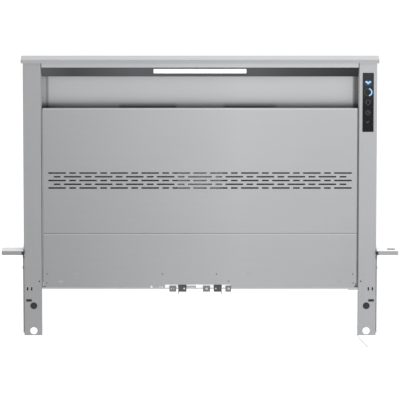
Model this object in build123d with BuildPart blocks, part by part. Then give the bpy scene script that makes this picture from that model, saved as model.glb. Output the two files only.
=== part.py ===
from build123d import *
import os
from math import acos, ceil, cos, hypot, pi, radians, sin, sqrt, tan

# Downdraft vent, raised. Millimetres. X to the right, Y to the back, Z up. The origin is the middle of the
# worktop slot at the worktop's underside, in the plane of the posts' front faces. Left and right are as seen
# from the front. Everything below Z = 0 hangs under the worktop.

os.makedirs("parts", exist_ok=True)

# ---------------------------------------------------------------- driving dimensions

# Cap
rise = 497.0              # top of the cap above the worktop's underside
cap_width = 914.0
cap_depth = 60.0
cap_height = 9.9
cap_overhang = 5.0        # in front of the posts
cap_sheet = 1.2
cap_corner = 2.0
cap_edge = 0.8

# Posts, which run on below as legs
chimney_width = 903.8     # over both posts
post_width = 46.0
post_sheet = 1.2
post_bend = 1.8
outer_flange = 50.0
inner_flange = 22.0
leg_drop = 224.4          # leg's lower end below the worktop's underside

# Leg cut-outs: distance in from the post's outer edge, height above the leg's lower end
dot_hole_in = 39.2
dot_hole_up = 142.4
dot_hole_radius = 1.9
key_slot_width = 3.6
key_slot_height = 9.0
key_slots_in = (8.9, 19.4)
key_slots_up = 122.4
clip_slot_width = 14.4
clip_slot_height = 6.4
clip_slot_in = 12.2
clip_slot_up = 92.0
plug_radius = 9.0
plug_in = 24.6
plug_up = 77.9
plug_depth = 3.6          # plugs and clips from the post's front face to their rear ends
plug_lip = 1.2            # plug's or clip's neck inside its rim
leg_hole_radius = 9.3
leg_hole_in = 24.4
leg_hole_up = 11.9

# Air box between the posts
duct_sheet = 1.2
duct_depth = 44.0         # front faces of the posts to the rear panel
wall_front = 12.0         # front edge of the side walls
wall_flange = 12.0
rear_sheet = 1.2

# Header, lamp and intake
header_height = 11.4
header_recess = 0.4
header_clearance = 0.4
lamp_sheet = 1.0
lamp_drop = 25.7
lamp_set_back = 13.6
lamp_bar_length = 240.0
lamp_bar_width = 16.0
lamp_bar_share = 0.45     # place of the bar down the slope
lamp_bar_thickness = 3.0
lamp_fit = 0.2
led_board_length = 228.0
led_board_width = 12.0
led_board_thickness = 1.6
intake_height = 80.3

# Front panels
panel_sheet = 1.2
panel_recess = 0.6
panel_edge = 0.5          # folded edge round the panel's face
panel_depth = 8.0
panel_gap = 3.9           # from a panel's side to the post
panel_seam = 0.7
access_height = 326.1
lower_height = 141.5
corner_cut_width = 7.0
corner_cut_height = 15.0
floor_sheet = 1.2
floor_lip = 4.4
floor_lip_recess = 1.6
notch_left = 90.6         # centre cut-out of the lower edge, left and right of the middle
notch_right = 80.1
notch_height = 7.6
notch_depth = 20.0

# Narrow slots and small fasteners
slot_ease = 0.6           # corner cut, as a share of half the slot's width
fastener_sides = 8

# Slots of the access panel
slot_rows = 5
slot_pitch = 9.76         # row to row
slot_height = 3.9
slot_long = 45.5
slot_short = 17.7
slot_period = 79.4        # long to long along a row
slot_outer = 365.7        # middle of the outermost slot from the middle of the panel
slot_middle_odd = 34.7    # slot across the middle in the rows that start with a long slot
slot_middle_even = 61.6   # and in the rows that start with a short one
slots_below_top = 168.3   # first row below the panel's upper edge

# Panel rails, magnets and filters
rail_sheet = 1.2
rail_face = 15.5
rail_depth = 20.0
rail_top_gap = 4.0        # rail's upper end below the intake
magnet_width = 8.0
magnet_height = 14.0
magnet_in = 10.0          # magnet's middle in from the side wall
magnet_end = 28.0         # magnet's middle from each end of the access panel
magnet_gap = 0.4
strike_thickness = 0.8
filter_frame_face = 20.0  # rear face of the filter frame
filter_frame_sheet = 1.2
filter_bottom = 64.0
filter_height = 232.0
filter_width = 322.0
filter_thickness = 8.0
filter_rim = 10.0
filter_divider_width = 116.0
filter_gap = 0.5
filter_baffles = 18
baffle_depth = 3.0
frame_margin = 5.0

# Control glass in the right post
glass_width = 28.2
glass_height = 153.0
glass_below_cap = 25.3    # its upper edge below the cap's underside
glass_out = 22.9          # its middle in from the post's outer edge
glass_fit = 0.3
glass_corner = 2.0
glass_proud = 0.4         # of the post; its back is level with the post's
tray_margin = 3.0
tray_wall = 1.5
tray_depth = 11.0
board_thickness = 1.6
board_gap = 0.5

# Rivets of the lower panel: distance from the middle, height above the panel's lower edge
rivet_radius = 1.8
rivet_height = 0.6
rivet_shank = 1.2
rivet_fit = 0.05
rivet_places = (
    (-392.4, 35.6), (-96.0, 35.6), (42.6, 35.6), (392.3, 35.6), (73.2, 16.6),
)

# Lift: racks on the posts, pinions on a cross shaft
travel = 449.0            # cap's underside down to a 38 mm worktop
gear_module = 2.0
pressure_angle = 20.0
pinion_teeth = 18
backlash = 0.24
gear_width = 12.0
pinion_width = 10.0
gear_in = 16.0            # rack's middle in from the post's outer edge
rack_back = 7.0           # rack's solid back behind its teeth
rack_rail_sheet = 1.5
rack_rail_foot = 26.0
rack_behind = 2.0         # rack's pitch line behind the posts' rear edges
shaft_drop = 109.0
shaft_radius = 6.0
shaft_run = 0.05          # radial running clearance
shaft_end = 1.5           # shaft's ends outside the side brackets
rack_spare_teeth = 3
flank_steps = 2
tip_relief = 0.05
dedendum = 1.25           # tooth's depth below the pitch line, in modules

# Side brackets and their ears
bracket_sheet = 1.5
bracket_gap = 1.2         # between a post and its bracket
bracket_front = 12.0
bracket_rear = 86.0
bracket_drop = 222.0
bracket_corner = 30.0
ear_length = 55.3         # bracket's inner face to the ear's outer end
ear_front = -10.0
ear_rear = 31.0
ear_lip = 9.5
ear_slot_width = 21.0
ear_slot_depth = 19.4
ear_slot_in = 7.5         # slot's edge in from the ear's outer end
ear_slot_from_front = 13.0
bracket_screw_radius = 2.6
bracket_screw_rows = (-138.0, -182.0)
bracket_screw_columns = (60.0, 76.0)
tab_height = 6.0
tab_drop = 16.0
tab_front = -5.0

# Ear pads and guide shoes
pad_clearance = 0.35
pad_height = 11.5
pad_length = 21.0
pad_front = -9.0
pad_lap = 3.2
shoe_width = 8.0
shoe_height = 40.0
shoe_tops = (-20.0, -140.0)
shoe_groove = 6.0         # depth of the groove for the post's outer flange
shoe_clearance = 0.3

# Mouth frame and seal between chimney and plenum
mouth_gap = 7.0           # from the posts' rear edges to the mouth frame
mouth_sheet = 1.5
mouth_drop = 102.0
mouth_notch_top = 86.0    # its lower corners are cut away for the pinions, up to here
mouth_notch_gap = 4.0     # and this far inside their hubs
mouth_flange = 24.0
window_half = 360.0       # outlet window's half width
window_top = 17.0         # below the worktop's underside
window_height = 75.0
window_corner = 6.0
seal_margin = 4.0
seal_width = 10.0         # at its ends
seal_band = 5.0           # above and below the window
seal_clearance = 0.35
bolt_radius = 2.5
bolt_fit = 0.1
bolt_head_radius = 4.6
bolt_head_height = 3.2
bolt_nut_height = 4.0
bolt_rows = (-22.0, -62.0)
bolt_behind = 14.0        # bolts' axes behind the mouth frame

# Plenum
plenum_sheet = 1.2
plenum_margin = 12.0      # its side walls outside the outlet window
plenum_top = 8.0          # below the worktop's underside
plenum_bottom = 100.0
plenum_step = 90.0       # where its bottom starts to fall
plenum_slope = 100.0
chamber_bottom = 144.0
chamber_top = 98.0
plenum_rear = 150.0       # rear wall of its upper part
taper_start = 112.0
taper_end = 230.0
chamber_half = 146.0
chamber_margin = 5.0

# Blower
fan_y = 272.0
fan_radius = 90.0
fan_inner_radius = 74.0
fan_height = 50.0
fan_blades = 24
fan_sheet = 1.5
blade_sheet = 1.2
blade_lead = 9.0          # degrees from a blade's inner to its outer edge
blade_bow = 3.0
fan_ring_width = 16.0
fan_bottom_gap = 11.0     # from the scroll's floor to the impeller
hub_gap = 3.5
hub_drop = 36.0
motor_radius = 42.0
motor_length = 44.0
motor_flange_radius = 52.0
motor_flange = 2.5
motor_shaft_radius = 5.0
motor_shaft_length = 14.0
motor_run = 0.05
motor_screw_ring = 47.5
motor_screw_radius = 2.0
motor_screw_head = 3.4
motor_screw_head_height = 2.0
motor_screw_count = 4
scroll_start = 104.0
scroll_growth = 14.0
scroll_sheet = 1.2
scroll_height = 78.0
scroll_reach = 150.0      # outlet's plane from the middle
scroll_inner_wall = 38.0  # outlet's inner wall behind the fan's axis
tongue_radius = 8.0
inlet_radius = 80.0
inlet_throat = 70.0
inlet_lip = 7.0
inlet_depth = 15.0
inlet_sheet = 1.2

# Outlet collar and damper
collar_radius = 75.0
collar_sheet = 1.2
collar_length = 60.0
collar_transition = 55.0  # tapered box between the scroll's outlet and the collar
adapter_margin = 2.0      # the box's end outside the collar
collar_drop = 86.0        # its axis below the worktop's underside
flap_radius = 70.0
flap_thickness = 2.0
flap_pin_radius = 2.5
flap_pin_up = 20.0
flap_pin_run = 0.1
flap_from_end = 48.0
flap_barrel_radius = 4.0
flap_barrel_length = 90.0
flap_pin_short = 1.0      # pin's ends inside the collar's outer surface

# Lift motor upright on its worm gearbox, which is seated on the mouth frame
gearbox_x = 400.0
gearbox_width = 36.0
gearbox_nose = 11.0       # radius round the cross shaft
gearbox_depth = 38.0
gearbox_height = 34.0
gearbox_floor = 11.0      # its bottom below the shaft's axis
gearbox_foot_width = 42.0
gearbox_foot_height = 36.0
gearbox_foot_sheet = 3.0
gearbox_bridge = 8.0      # height of the block between foot and housing
motor_back = 22.0         # lift motor's axis behind the shaft
lift_motor_radius = 18.0
lift_motor_length = 70.0
lift_motor_cap = 4.0
lift_motor_cap_radius = 6.5
lift_motor_edge = 2.0

# Bushes, sensor, power box, gland
bush_radius = 9.0
bush_flange_radius = 12.0
bush_flange = 1.5
bush_fit = 0.05
sensor_x = 391.0
sensor_width = 9.0
sensor_height = 22.0
sensor_gap = 1.6
sensor_drop = 88.0
sensor_magnet_thickness = 2.8
sensor_edge = 0.8
power_box_x = -230.0
power_box_width = 110.0
power_box_height = 78.0
power_box_depth = 46.0
power_box_top = 16.0
power_box_wall = 1.5
gland_radius = 9.0
gland_bore = 4.5
gland_length = 14.0
gland_nut = 12.0

# Small pieces at the lower edge
clip_sheet = 1.5
clip_depth = 12.0
clip_hole_radius = 1.4
clip_height = 14.5
clip_drop = 6.5
clips = ((-69.9, 17.9), (16.8, 18.8), (72.6, 14.7))
stops = ((-45.4, 21.1, -1), (45.5, 20.3, 1))
stop_height = 20.0
stop_drop = 8.0
stop_depth = 14.0
stop_pin_radius = 0.8
stop_pin_length = 7.0
bar_length = 24.1
bar_middle = -22.4
bar_height = 5.0
bar_depth = 10.0
strip_sheet = 0.8
strip_width = 12.0
strip_front = 8.0
strip_up = 110.0          # its upper end above the leg's lower end
strip_turn = 22.0         # where it leaves the leg's flange, above the leg's lower end
strip_bow = 1.4
strip_tail_out = 27.0
strip_tail_drop = 34.0
strip_knee_out = 6.8
strip_knee_drop = 13.6

# ---------------------------------------------------------------- levels and places that follow

cap_top = rise
cap_bottom = cap_top - cap_height
cap_ceiling = cap_top - cap_sheet
post_outer = chimney_width / 2
post_inner = post_outer - post_width
leg_bottom = -leg_drop
header_bottom = cap_bottom - header_height
lamp_floor = header_bottom - lamp_drop
intake_bottom = lamp_floor - intake_height
access_bottom = intake_bottom - access_height
lower_top = access_bottom - panel_seam
lower_bottom = lower_top - lower_height
floor_bottom = lower_bottom - floor_lip
floor_top = floor_bottom + floor_sheet
panel_half = post_inner - panel_gap
panel_back = panel_recess + panel_depth
wall_inner = post_inner - duct_sheet
rear_half = post_inner + wall_flange
rear_back = duct_depth + rear_sheet
rail_top = intake_bottom - rail_top_gap
filter_top = filter_bottom + filter_height
filter_frame_front = filter_frame_face - filter_frame_sheet
bracket_inner = post_outer + bracket_gap
bracket_outer = bracket_inner + bracket_sheet
ear_reach = bracket_inner + ear_length
mouth_front = outer_flange + mouth_gap
mouth_back = mouth_front + mouth_sheet
gear_x = post_outer - gear_in
pinion_pitch = gear_module * pinion_teeth / 2
rack_pitch_depth = outer_flange + rack_behind
shaft_y = rack_pitch_depth + pinion_pitch
shaft_z = -shaft_drop
tooth_pitch = pi * gear_module
rack_root = rack_pitch_depth - dedendum * gear_module
rack_face = rack_root - rack_back
collar_z = -collar_drop
scroll_floor = -chamber_top
scroll_top = scroll_floor + scroll_height
outlet_inner = fan_y + scroll_inner_wall
outlet_outer = fan_y + scroll_start + 2.5 * scroll_growth
outlet_middle = (outlet_inner + outlet_outer) / 2
collar_start = scroll_reach + collar_transition
collar_end = collar_start + collar_length
bolt_y = mouth_back + bolt_behind
window_middle = -window_top - window_height / 2
plenum_half = window_half + plenum_margin


def folded(points, sheet):
    """Face of a sheet folded along points, with its thickness on the left of the way along them."""
    normals = []
    for (x0, y0), (x1, y1) in zip(points, points[1:]):
        run = hypot(x1 - x0, y1 - y0)
        normals.append((-(y1 - y0) / run, (x1 - x0) / run))
    inside = []
    for i, (x, y) in enumerate(points):
        (ax, ay), (bx, by) = normals[max(i - 1, 0)], normals[min(i, len(normals) - 1)]
        share = sheet / (1 + ax * bx + ay * by)
        inside.append((x + (ax + bx) * share, y + (ay + by) * share))
    return Polygon(*points, *reversed(inside), align=None)


def eased(x, z, width, height):
    """Face of a narrow slot, its corners cut off in place of rounded ends."""
    across, up = width / 2, height / 2
    cut = min(across, up) * slot_ease
    corner = [(across - cut, up), (across, up - cut)]
    right = corner + [(px, -pz) for px, pz in reversed(corner)]
    left = [(-px, -pz) for px, pz in right]
    return Polygon(*[(x + px, z + pz) for px, pz in right + left], align=None)


def small_round(radius, mode=Mode.ADD):
    """Section of a small fastener, or of the hole that it fits."""
    return RegularPolygon(radius, fastener_sides, mode=mode)


def keep(piece, name):
    """Labels a finished piece and writes it."""
    piece.part.label = name
    export_step(piece.part, f"parts/{name}.step")


# ---------------------------------------------------------------- chimney: cap and posts

cap_middle = cap_depth / 2 - cap_overhang

with BuildPart() as top_cap:
    with BuildSketch(Plane.XY.offset(cap_bottom)):
        with Locations((0, cap_middle)):
            Rectangle(cap_width, cap_depth)
    extrude(amount=cap_height)
    chamfer(top_cap.edges().filter_by(Axis.Z), cap_corner)
    chamfer(top_cap.faces().sort_by(Axis.Z)[-1].edges(), cap_edge)
    with BuildSketch(Plane.XY.offset(cap_bottom)):
        with Locations((0, cap_middle)):
            RectangleRounded(cap_width - 2 * cap_sheet, cap_depth - 2 * cap_sheet, cap_corner - cap_sheet)
    extrude(amount=cap_height - cap_sheet, mode=Mode.SUBTRACT)
keep(top_cap, "top_cap")

glass_x = post_outer - glass_out
glass_top = cap_bottom - glass_below_cap
glass_z = glass_top - glass_height / 2


def post(side):
    """C-shaped post: front web, deep outer flange, shallow inner flange, and the leg's cut-outs."""
    with BuildPart() as channel:
        with BuildSketch(Plane.XY.offset(leg_bottom)):
            way = [
                (side * post_outer, outer_flange),
                (side * post_outer, 0),
                (side * post_inner, 0),
                (side * post_inner, inner_flange),
            ]
            folded(way if side < 0 else way[::-1], post_sheet)
        extrude(amount=cap_ceiling - leg_bottom)
        fillet(channel.edges().filter_by(Axis.Z).group_by(Axis.Y)[0], post_bend)
        with BuildSketch(Plane.XZ.offset(-post_sheet)):
            with Locations((side * (post_outer - dot_hole_in), leg_bottom + dot_hole_up)):
                small_round(dot_hole_radius)
            for place in key_slots_in:
                eased(side * (post_outer - place), leg_bottom + key_slots_up, key_slot_width, key_slot_height)
            with Locations((side * (post_outer - clip_slot_in), leg_bottom + clip_slot_up)):
                Rectangle(clip_slot_width, clip_slot_height)
            with Locations((side * (post_outer - plug_in), leg_bottom + plug_up)):
                Circle(plug_radius)
            with Locations((side * (post_outer - leg_hole_in), leg_bottom + leg_hole_up)):
                Circle(leg_hole_radius)
            if side > 0:
                with Locations((glass_x, glass_z)):
                    RectangleRounded(glass_width + 2 * glass_fit, glass_height + 2 * glass_fit, glass_corner)
        extrude(amount=2 * post_sheet, mode=Mode.SUBTRACT)
    return channel


keep(post(-1), "post_left")
keep(post(1), "post_right")


def leg_plugs():
    """Round plugs and slot clips of both legs, pushed in from behind."""
    with BuildPart() as plugs:
        for side in (-1, 1):
            plug_place = (side * (post_outer - plug_in), leg_bottom + plug_up)
            clip_place = (side * (post_outer - clip_slot_in), leg_bottom + clip_slot_up)
            with BuildSketch(Plane.XZ.offset(-post_sheet)):
                with Locations(plug_place):
                    Circle(plug_radius)
            extrude(amount=post_sheet)
            with BuildSketch(Plane.XZ.offset(-plug_depth)):
                with Locations(plug_place):
                    small_round(plug_radius - plug_lip)
            extrude(amount=plug_depth - post_sheet)
            with BuildSketch(Plane.XZ.offset(-post_sheet)):
                with Locations(clip_place):
                    Rectangle(clip_slot_width, clip_slot_height)
            extrude(amount=post_sheet / 2)
            with BuildSketch(Plane.XZ.offset(-plug_depth)):
                with Locations(clip_place):
                    Rectangle(clip_slot_width - plug_lip, clip_slot_height)
            extrude(amount=plug_depth - post_sheet)
    return plugs


keep(leg_plugs(), "leg_plugs")

# ---------------------------------------------------------------- chimney: air box


def side_wall(side):
    """Side wall of the air box, on the post's inner flange, with a rear flange for the rear panel."""
    with BuildPart() as wall:
        with BuildSketch(Plane.XY.offset(floor_bottom)):
            way = [
                (side * wall_inner, wall_front),
                (side * wall_inner, duct_depth),
                (side * rear_half, duct_depth),
            ]
            folded(way, -side * duct_sheet)
        extrude(amount=cap_ceiling - floor_bottom)
    return wall


keep(side_wall(-1), "side_wall_left")
keep(side_wall(1), "side_wall_right")

with BuildPart() as rear_panel:
    with BuildSketch(Plane.XZ.offset(-duct_depth)):
        with Locations((0, (cap_ceiling + floor_bottom) / 2)):
            Rectangle(2 * rear_half, cap_ceiling - floor_bottom)
        with Locations((0, window_middle)):
            RectangleRounded(2 * window_half, window_height, window_corner, mode=Mode.SUBTRACT)
    extrude(amount=-rear_sheet)
keep(rear_panel, "rear_panel")

# ---------------------------------------------------------------- chimney: header and lamp

slope_run = hypot(lamp_set_back, lamp_drop)
slope_y = lamp_set_back / slope_run
slope_z = -lamp_drop / slope_run
bar_y = header_recess + lamp_bar_share * lamp_set_back
bar_z = header_bottom - lamp_bar_share * lamp_drop


def lamp_plane(depth):
    """Plane of the lamp's slope, depth behind its front face, facing down and forward."""
    origin = (0, bar_y - slope_z * depth, bar_z + slope_y * depth)
    return Plane(origin=origin, x_dir=(1, 0, 0), z_dir=(0, slope_z, -slope_y))


with BuildPart() as lamp_housing:
    with BuildSketch(Plane.YZ):
        folded(
            [
                (header_recess, cap_ceiling),
                (header_recess, header_bottom),
                (header_recess + lamp_set_back, lamp_floor),
                (duct_depth, lamp_floor),
            ],
            lamp_sheet,
        )
    extrude(amount=wall_inner - header_clearance, both=True)
    with BuildSketch(lamp_plane(0)):
        Rectangle(lamp_bar_length + 2 * lamp_fit, lamp_bar_width + 2 * lamp_fit)
    extrude(amount=2 * lamp_sheet, both=True, mode=Mode.SUBTRACT)
keep(lamp_housing, "lamp_housing")

with BuildPart() as lamp_diffuser:
    with BuildSketch(lamp_plane(0)):
        Rectangle(lamp_bar_length, lamp_bar_width)
    extrude(amount=-lamp_sheet)
    with BuildSketch(lamp_plane(lamp_sheet)):
        Rectangle(lamp_bar_length + 2 * lamp_bar_thickness, lamp_bar_width + lamp_bar_thickness)
    extrude(amount=lamp_sheet - lamp_bar_thickness)
keep(lamp_diffuser, "lamp_diffuser")

with BuildPart() as led_board:
    with BuildSketch(lamp_plane(lamp_bar_thickness)):
        Rectangle(led_board_length, led_board_width)
    extrude(amount=-led_board_thickness)
keep(led_board, "led_board")

# ---------------------------------------------------------------- chimney: front panels


def panel_tray(low, high):
    """Front panel as a tray: a flat face with its four edges folded back."""
    middle = (low + high) / 2
    with BuildPart() as tray:
        with BuildSketch(Plane.XZ.offset(-panel_back)):
            with Locations((0, middle)):
                Rectangle(2 * panel_half, high - low)
        extrude(amount=panel_depth)
        chamfer(tray.faces().sort_by(Axis.Y)[0].edges(), panel_edge)
        with BuildSketch(Plane.XZ.offset(-panel_back)):
            with Locations((0, middle)):
                Rectangle(2 * (panel_half - panel_sheet), high - low - 2 * panel_sheet)
        extrude(amount=panel_depth - panel_sheet, mode=Mode.SUBTRACT)
    return tray


def slot_row(first, second, middle):
    """Places and lengths of one row: first and second take turns inwards from the outer end."""
    slots = [(0, middle)]
    place = slot_outer
    lengths = (first, second)
    turn = 0
    while place - lengths[turn] / 2 > middle / 2:
        slots += [(-place, lengths[turn]), (place, lengths[turn])]
        place -= slot_period / 2
        turn = 1 - turn
    return slots


access_tray = panel_tray(access_bottom, intake_bottom)
with BuildPart() as access_panel:
    add(access_tray.part)
    with BuildSketch(Plane.XZ.offset(-panel_back)):
        for row in range(slot_rows):
            height = intake_bottom - slots_below_top - row * slot_pitch
            if row % 2 == 0:
                slots = slot_row(slot_long, slot_short, slot_middle_odd)
            else:
                slots = slot_row(slot_short, slot_long, slot_middle_even)
            for place, length in slots:
                eased(place, height, length, slot_height)
    extrude(amount=panel_back, mode=Mode.SUBTRACT)
keep(access_panel, "access_panel")

magnet_x = wall_inner - magnet_in
magnet_levels = (access_bottom + magnet_end, intake_bottom - magnet_end)

with BuildPart() as strike_plates:
    with BuildSketch(Plane.XZ.offset(-panel_recess - panel_sheet - strike_thickness)):
        with Locations(*[(side * magnet_x, level) for side in (-1, 1) for level in magnet_levels]):
            Rectangle(magnet_width, magnet_height)
    extrude(amount=strike_thickness)
keep(strike_plates, "strike_plates")

lower_tray = panel_tray(lower_bottom, lower_top)
notch_middle = (notch_right - notch_left) / 2
notch_width = notch_right + notch_left
with BuildPart() as lower_panel:
    add(lower_tray.part)
    with BuildSketch(Plane.XZ.offset(-notch_depth)):
        with Locations((notch_middle, lower_bottom)):
            Rectangle(notch_width, 2 * notch_height)
        for side in (-1, 1):
            Polygon(
                (side * panel_half, lower_bottom),
                (side * (panel_half - corner_cut_width), lower_bottom),
                (side * panel_half, lower_bottom + corner_cut_height),
                align=None,
            )
        with Locations(*[(x, lower_bottom + up) for x, up in rivet_places]):
            small_round(rivet_shank)
    extrude(amount=2 * notch_depth, mode=Mode.SUBTRACT)
keep(lower_panel, "lower_panel")

with BuildPart() as floor_pan:
    with BuildSketch(Plane.YZ):
        folded(
            [
                (duct_depth, floor_bottom),
                (panel_recess + floor_lip_recess, floor_bottom),
                (panel_recess + floor_lip_recess, lower_bottom),
            ],
            -floor_sheet,
        )
    extrude(amount=wall_inner, both=True)
    with BuildSketch(Plane.XY.offset(floor_bottom)):
        with Locations((notch_middle, 0)):
            Rectangle(notch_width, 2 * notch_depth)
    extrude(amount=floor_lip, mode=Mode.SUBTRACT)
keep(floor_pan, "floor_pan")


def panel_rail(side):
    """Angle up the inside of a side wall that the front panels' edges rest against."""
    with BuildPart() as rail:
        with BuildSketch(Plane.XY.offset(floor_top)):
            way = [
                (side * wall_inner, panel_back + rail_depth),
                (side * wall_inner, panel_back),
                (side * (wall_inner - rail_face), panel_back),
            ]
            folded(way, side * -rail_sheet)
        extrude(amount=rail_top - floor_top)
    return rail


keep(panel_rail(-1), "panel_rail_left")
keep(panel_rail(1), "panel_rail_right")

with BuildPart() as panel_magnets:
    with BuildSketch(Plane.XZ.offset(-panel_back)):
        with Locations(*[(side * magnet_x, level) for side in (-1, 1) for level in magnet_levels]):
            Rectangle(magnet_width, magnet_height)
    extrude(amount=panel_depth - panel_sheet - strike_thickness - magnet_gap)
keep(panel_magnets, "panel_magnets")

with BuildPart() as panel_rivets:
    for place, up in rivet_places:
        with BuildSketch(Plane.XZ.offset(-panel_recess)):
            with Locations((place, lower_bottom + up)):
                small_round(rivet_radius)
        extrude(amount=rivet_height)
        with BuildSketch(Plane.XZ.offset(-panel_recess - panel_sheet)):
            with Locations((place, lower_bottom + up)):
                small_round(rivet_shank - rivet_fit)
        extrude(amount=panel_sheet)
keep(panel_rivets, "panel_rivets")

# ---------------------------------------------------------------- chimney: grease filters

filter_middle = filter_divider_width / 2 + filter_gap + filter_width / 2
frame_top = filter_top + frame_margin
frame_bottom = filter_bottom - frame_margin
frame_lip = panel_back + rail_sheet + magnet_gap

with BuildPart() as filter_frame:
    with BuildSketch(Plane.YZ):
        folded(
            [
                (duct_depth, frame_top),
                (filter_frame_face, frame_top),
                (filter_frame_face, frame_bottom + filter_frame_sheet),
            ],
            -filter_frame_sheet,
        )
        with Locations(((frame_lip + filter_frame_face) / 2, frame_bottom + filter_frame_sheet / 2)):
            Rectangle(filter_frame_face - frame_lip, filter_frame_sheet)
    extrude(amount=wall_inner - rail_sheet - magnet_gap, both=True)
    with BuildSketch(Plane.XZ.offset(-filter_frame_face)):
        with Locations(*[(side * filter_middle, (filter_top + filter_bottom) / 2) for side in (-1, 1)]):
            Rectangle(filter_width - 2 * filter_rim, filter_height - 2 * filter_rim)
    extrude(amount=2 * filter_frame_sheet, both=True, mode=Mode.SUBTRACT)
keep(filter_frame, "filter_frame")

with BuildPart() as filter_divider:
    with BuildSketch(Plane.XZ.offset(-filter_frame_front)):
        with Locations((0, (filter_top + filter_bottom) / 2)):
            Rectangle(filter_divider_width, filter_height)
    extrude(amount=filter_thickness)
    with BuildSketch(Plane.XZ.offset(-filter_frame_front)):
        with Locations((0, (filter_top + filter_bottom) / 2)):
            Rectangle(filter_divider_width - 2 * filter_frame_sheet, filter_height)
    extrude(amount=filter_thickness - filter_frame_sheet, mode=Mode.SUBTRACT)
keep(filter_divider, "filter_divider")


def grease_filter(side):
    """Grease filter: a rim round a row of upright baffles, half of them grooved from each face."""
    middle = (side * filter_middle, (filter_top + filter_bottom) / 2)
    inner_width = filter_width - 2 * filter_rim
    baffle_pitch = inner_width / filter_baffles
    with BuildPart() as cassette:
        with BuildSketch(Plane.XZ.offset(-filter_frame_front)):
            with Locations(middle):
                Rectangle(filter_width, filter_height)
        extrude(amount=filter_thickness)
        with BuildSketch(Plane.XZ.offset(-filter_frame_front + filter_thickness)):
            with Locations(middle):
                with GridLocations(baffle_pitch, 1, filter_baffles, 1):
                    Rectangle(baffle_pitch / 2, filter_height - 2 * filter_rim)
        extrude(amount=-baffle_depth, mode=Mode.SUBTRACT)
        with BuildSketch(Plane.XZ.offset(-filter_frame_front)):
            with Locations(middle):
                with GridLocations(baffle_pitch, 1, filter_baffles - 1, 1):
                    Rectangle(baffle_pitch / 2, filter_height - 2 * filter_rim)
        extrude(amount=baffle_depth, mode=Mode.SUBTRACT)
    return cassette


keep(grease_filter(-1), "grease_filter_left")
keep(grease_filter(1), "grease_filter_right")

# ---------------------------------------------------------------- chimney: touch control in the right post

with BuildPart() as control_glass:
    with BuildSketch(Plane.XZ.offset(-post_sheet)):
        with Locations((glass_x, glass_z)):
            RectangleRounded(glass_width, glass_height, glass_corner - glass_fit)
    extrude(amount=post_sheet + glass_proud)
keep(control_glass, "control_glass")

tray_width = glass_width + 2 * tray_margin
tray_height = glass_height + 2 * tray_margin

with BuildPart() as control_tray:
    with BuildSketch(Plane.XZ.offset(-post_sheet - tray_depth)):
        with Locations((glass_x, glass_z)):
            Rectangle(tray_width, tray_height)
    extrude(amount=tray_depth)
    with BuildSketch(Plane.XZ.offset(-post_sheet - tray_depth)):
        with Locations((glass_x, glass_z)):
            Rectangle(tray_width - 2 * tray_wall, tray_height - 2 * tray_wall)
    extrude(amount=tray_depth - tray_wall, mode=Mode.SUBTRACT)
keep(control_tray, "control_tray")

with BuildPart() as control_board:
    with BuildSketch(Plane.XZ.offset(-post_sheet - tray_wall - board_thickness)):
        with Locations((glass_x, glass_z)):
            Rectangle(tray_width - 2 * tray_wall - 2 * board_gap, tray_height - 2 * tray_wall - 2 * board_gap)
    extrude(amount=board_thickness)
keep(control_board, "control_board")

# ---------------------------------------------------------------- chimney: small pieces at the lower edge


def bottom_clips():
    """Three J-shaped clips with a hole each, fixed under the floor pan and open to the centre cut-out."""
    with BuildPart() as clip_set:
        for middle, width in clips:
            with BuildSketch(Plane.YZ.offset(middle - width / 2)):
                folded(
                    [
                        (notch_depth + clip_depth, floor_bottom),
                        (notch_depth, floor_bottom),
                        (notch_depth, floor_bottom - clip_drop),
                        (notch_depth - clip_depth, floor_bottom - clip_drop),
                        (notch_depth - clip_depth, floor_bottom - clip_drop + clip_height),
                    ],
                    clip_sheet,
                )
            extrude(amount=width)
        with BuildSketch(Plane.XZ):
            with Locations(*[(middle, floor_bottom) for middle, width in clips]):
                small_round(clip_hole_radius)
        extrude(amount=clip_sheet - notch_depth, mode=Mode.SUBTRACT)
    return clip_set


keep(bottom_clips(), "bottom_clips")

stop_y = notch_depth - stop_depth / 2
stop_bottom = floor_bottom - stop_drop


def stop_blocks():
    """Two dark travel stops with a thin guide pin each, seated on the floor pan's cut edge."""
    with BuildPart() as blocks:
        for middle, width, side in stops:
            with BuildSketch(Plane.XY.offset(stop_bottom)):
                with Locations((middle, stop_y)):
                    Rectangle(width, stop_depth)
            extrude(amount=stop_height)
            with BuildSketch(Plane.XY.offset(stop_bottom)):
                with Locations((middle + side * (width / 2 - stop_pin_radius), stop_y)):
                    small_round(stop_pin_radius)
            extrude(amount=-stop_pin_length)
    return blocks


keep(stop_blocks(), "stop_blocks")

with BuildPart() as centre_bar:
    with BuildSketch(Plane.XY.offset(floor_bottom)):
        with Locations((bar_middle, notch_depth - bar_depth / 2)):
            Rectangle(bar_length, bar_depth)
    extrude(amount=bar_height)
keep(centre_bar, "centre_bar")

strip_top = leg_bottom + strip_up

strip_way = [
    (post_inner, strip_top),
    (post_inner, leg_bottom + strip_turn),
    (post_inner - strip_bow, leg_bottom + strip_turn / 2),
    (post_inner - strip_sheet, leg_bottom - strip_sheet),
    (post_inner + strip_knee_out, leg_bottom - strip_knee_drop),
    (post_inner + strip_tail_out, leg_bottom - strip_tail_drop),
]

with BuildPart() as cable_guide_strip:
    with BuildSketch(Plane.XZ.offset(-strip_front)):
        folded(strip_way, -strip_sheet)
    extrude(amount=-strip_width)
keep(cable_guide_strip, "cable_guide_strip")

# ---------------------------------------------------------------- lift: racks, pinions and cross shaft

tooth_half = tooth_pitch / 4 - backlash / 4
flare = tan(radians(pressure_angle))
rack_teeth = ceil(travel / tooth_pitch) + 2 * rack_spare_teeth + 1
rack_low = shaft_z - (rack_spare_teeth + 0.5) * tooth_pitch
rack_high = rack_low + rack_teeth * tooth_pitch


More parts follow.
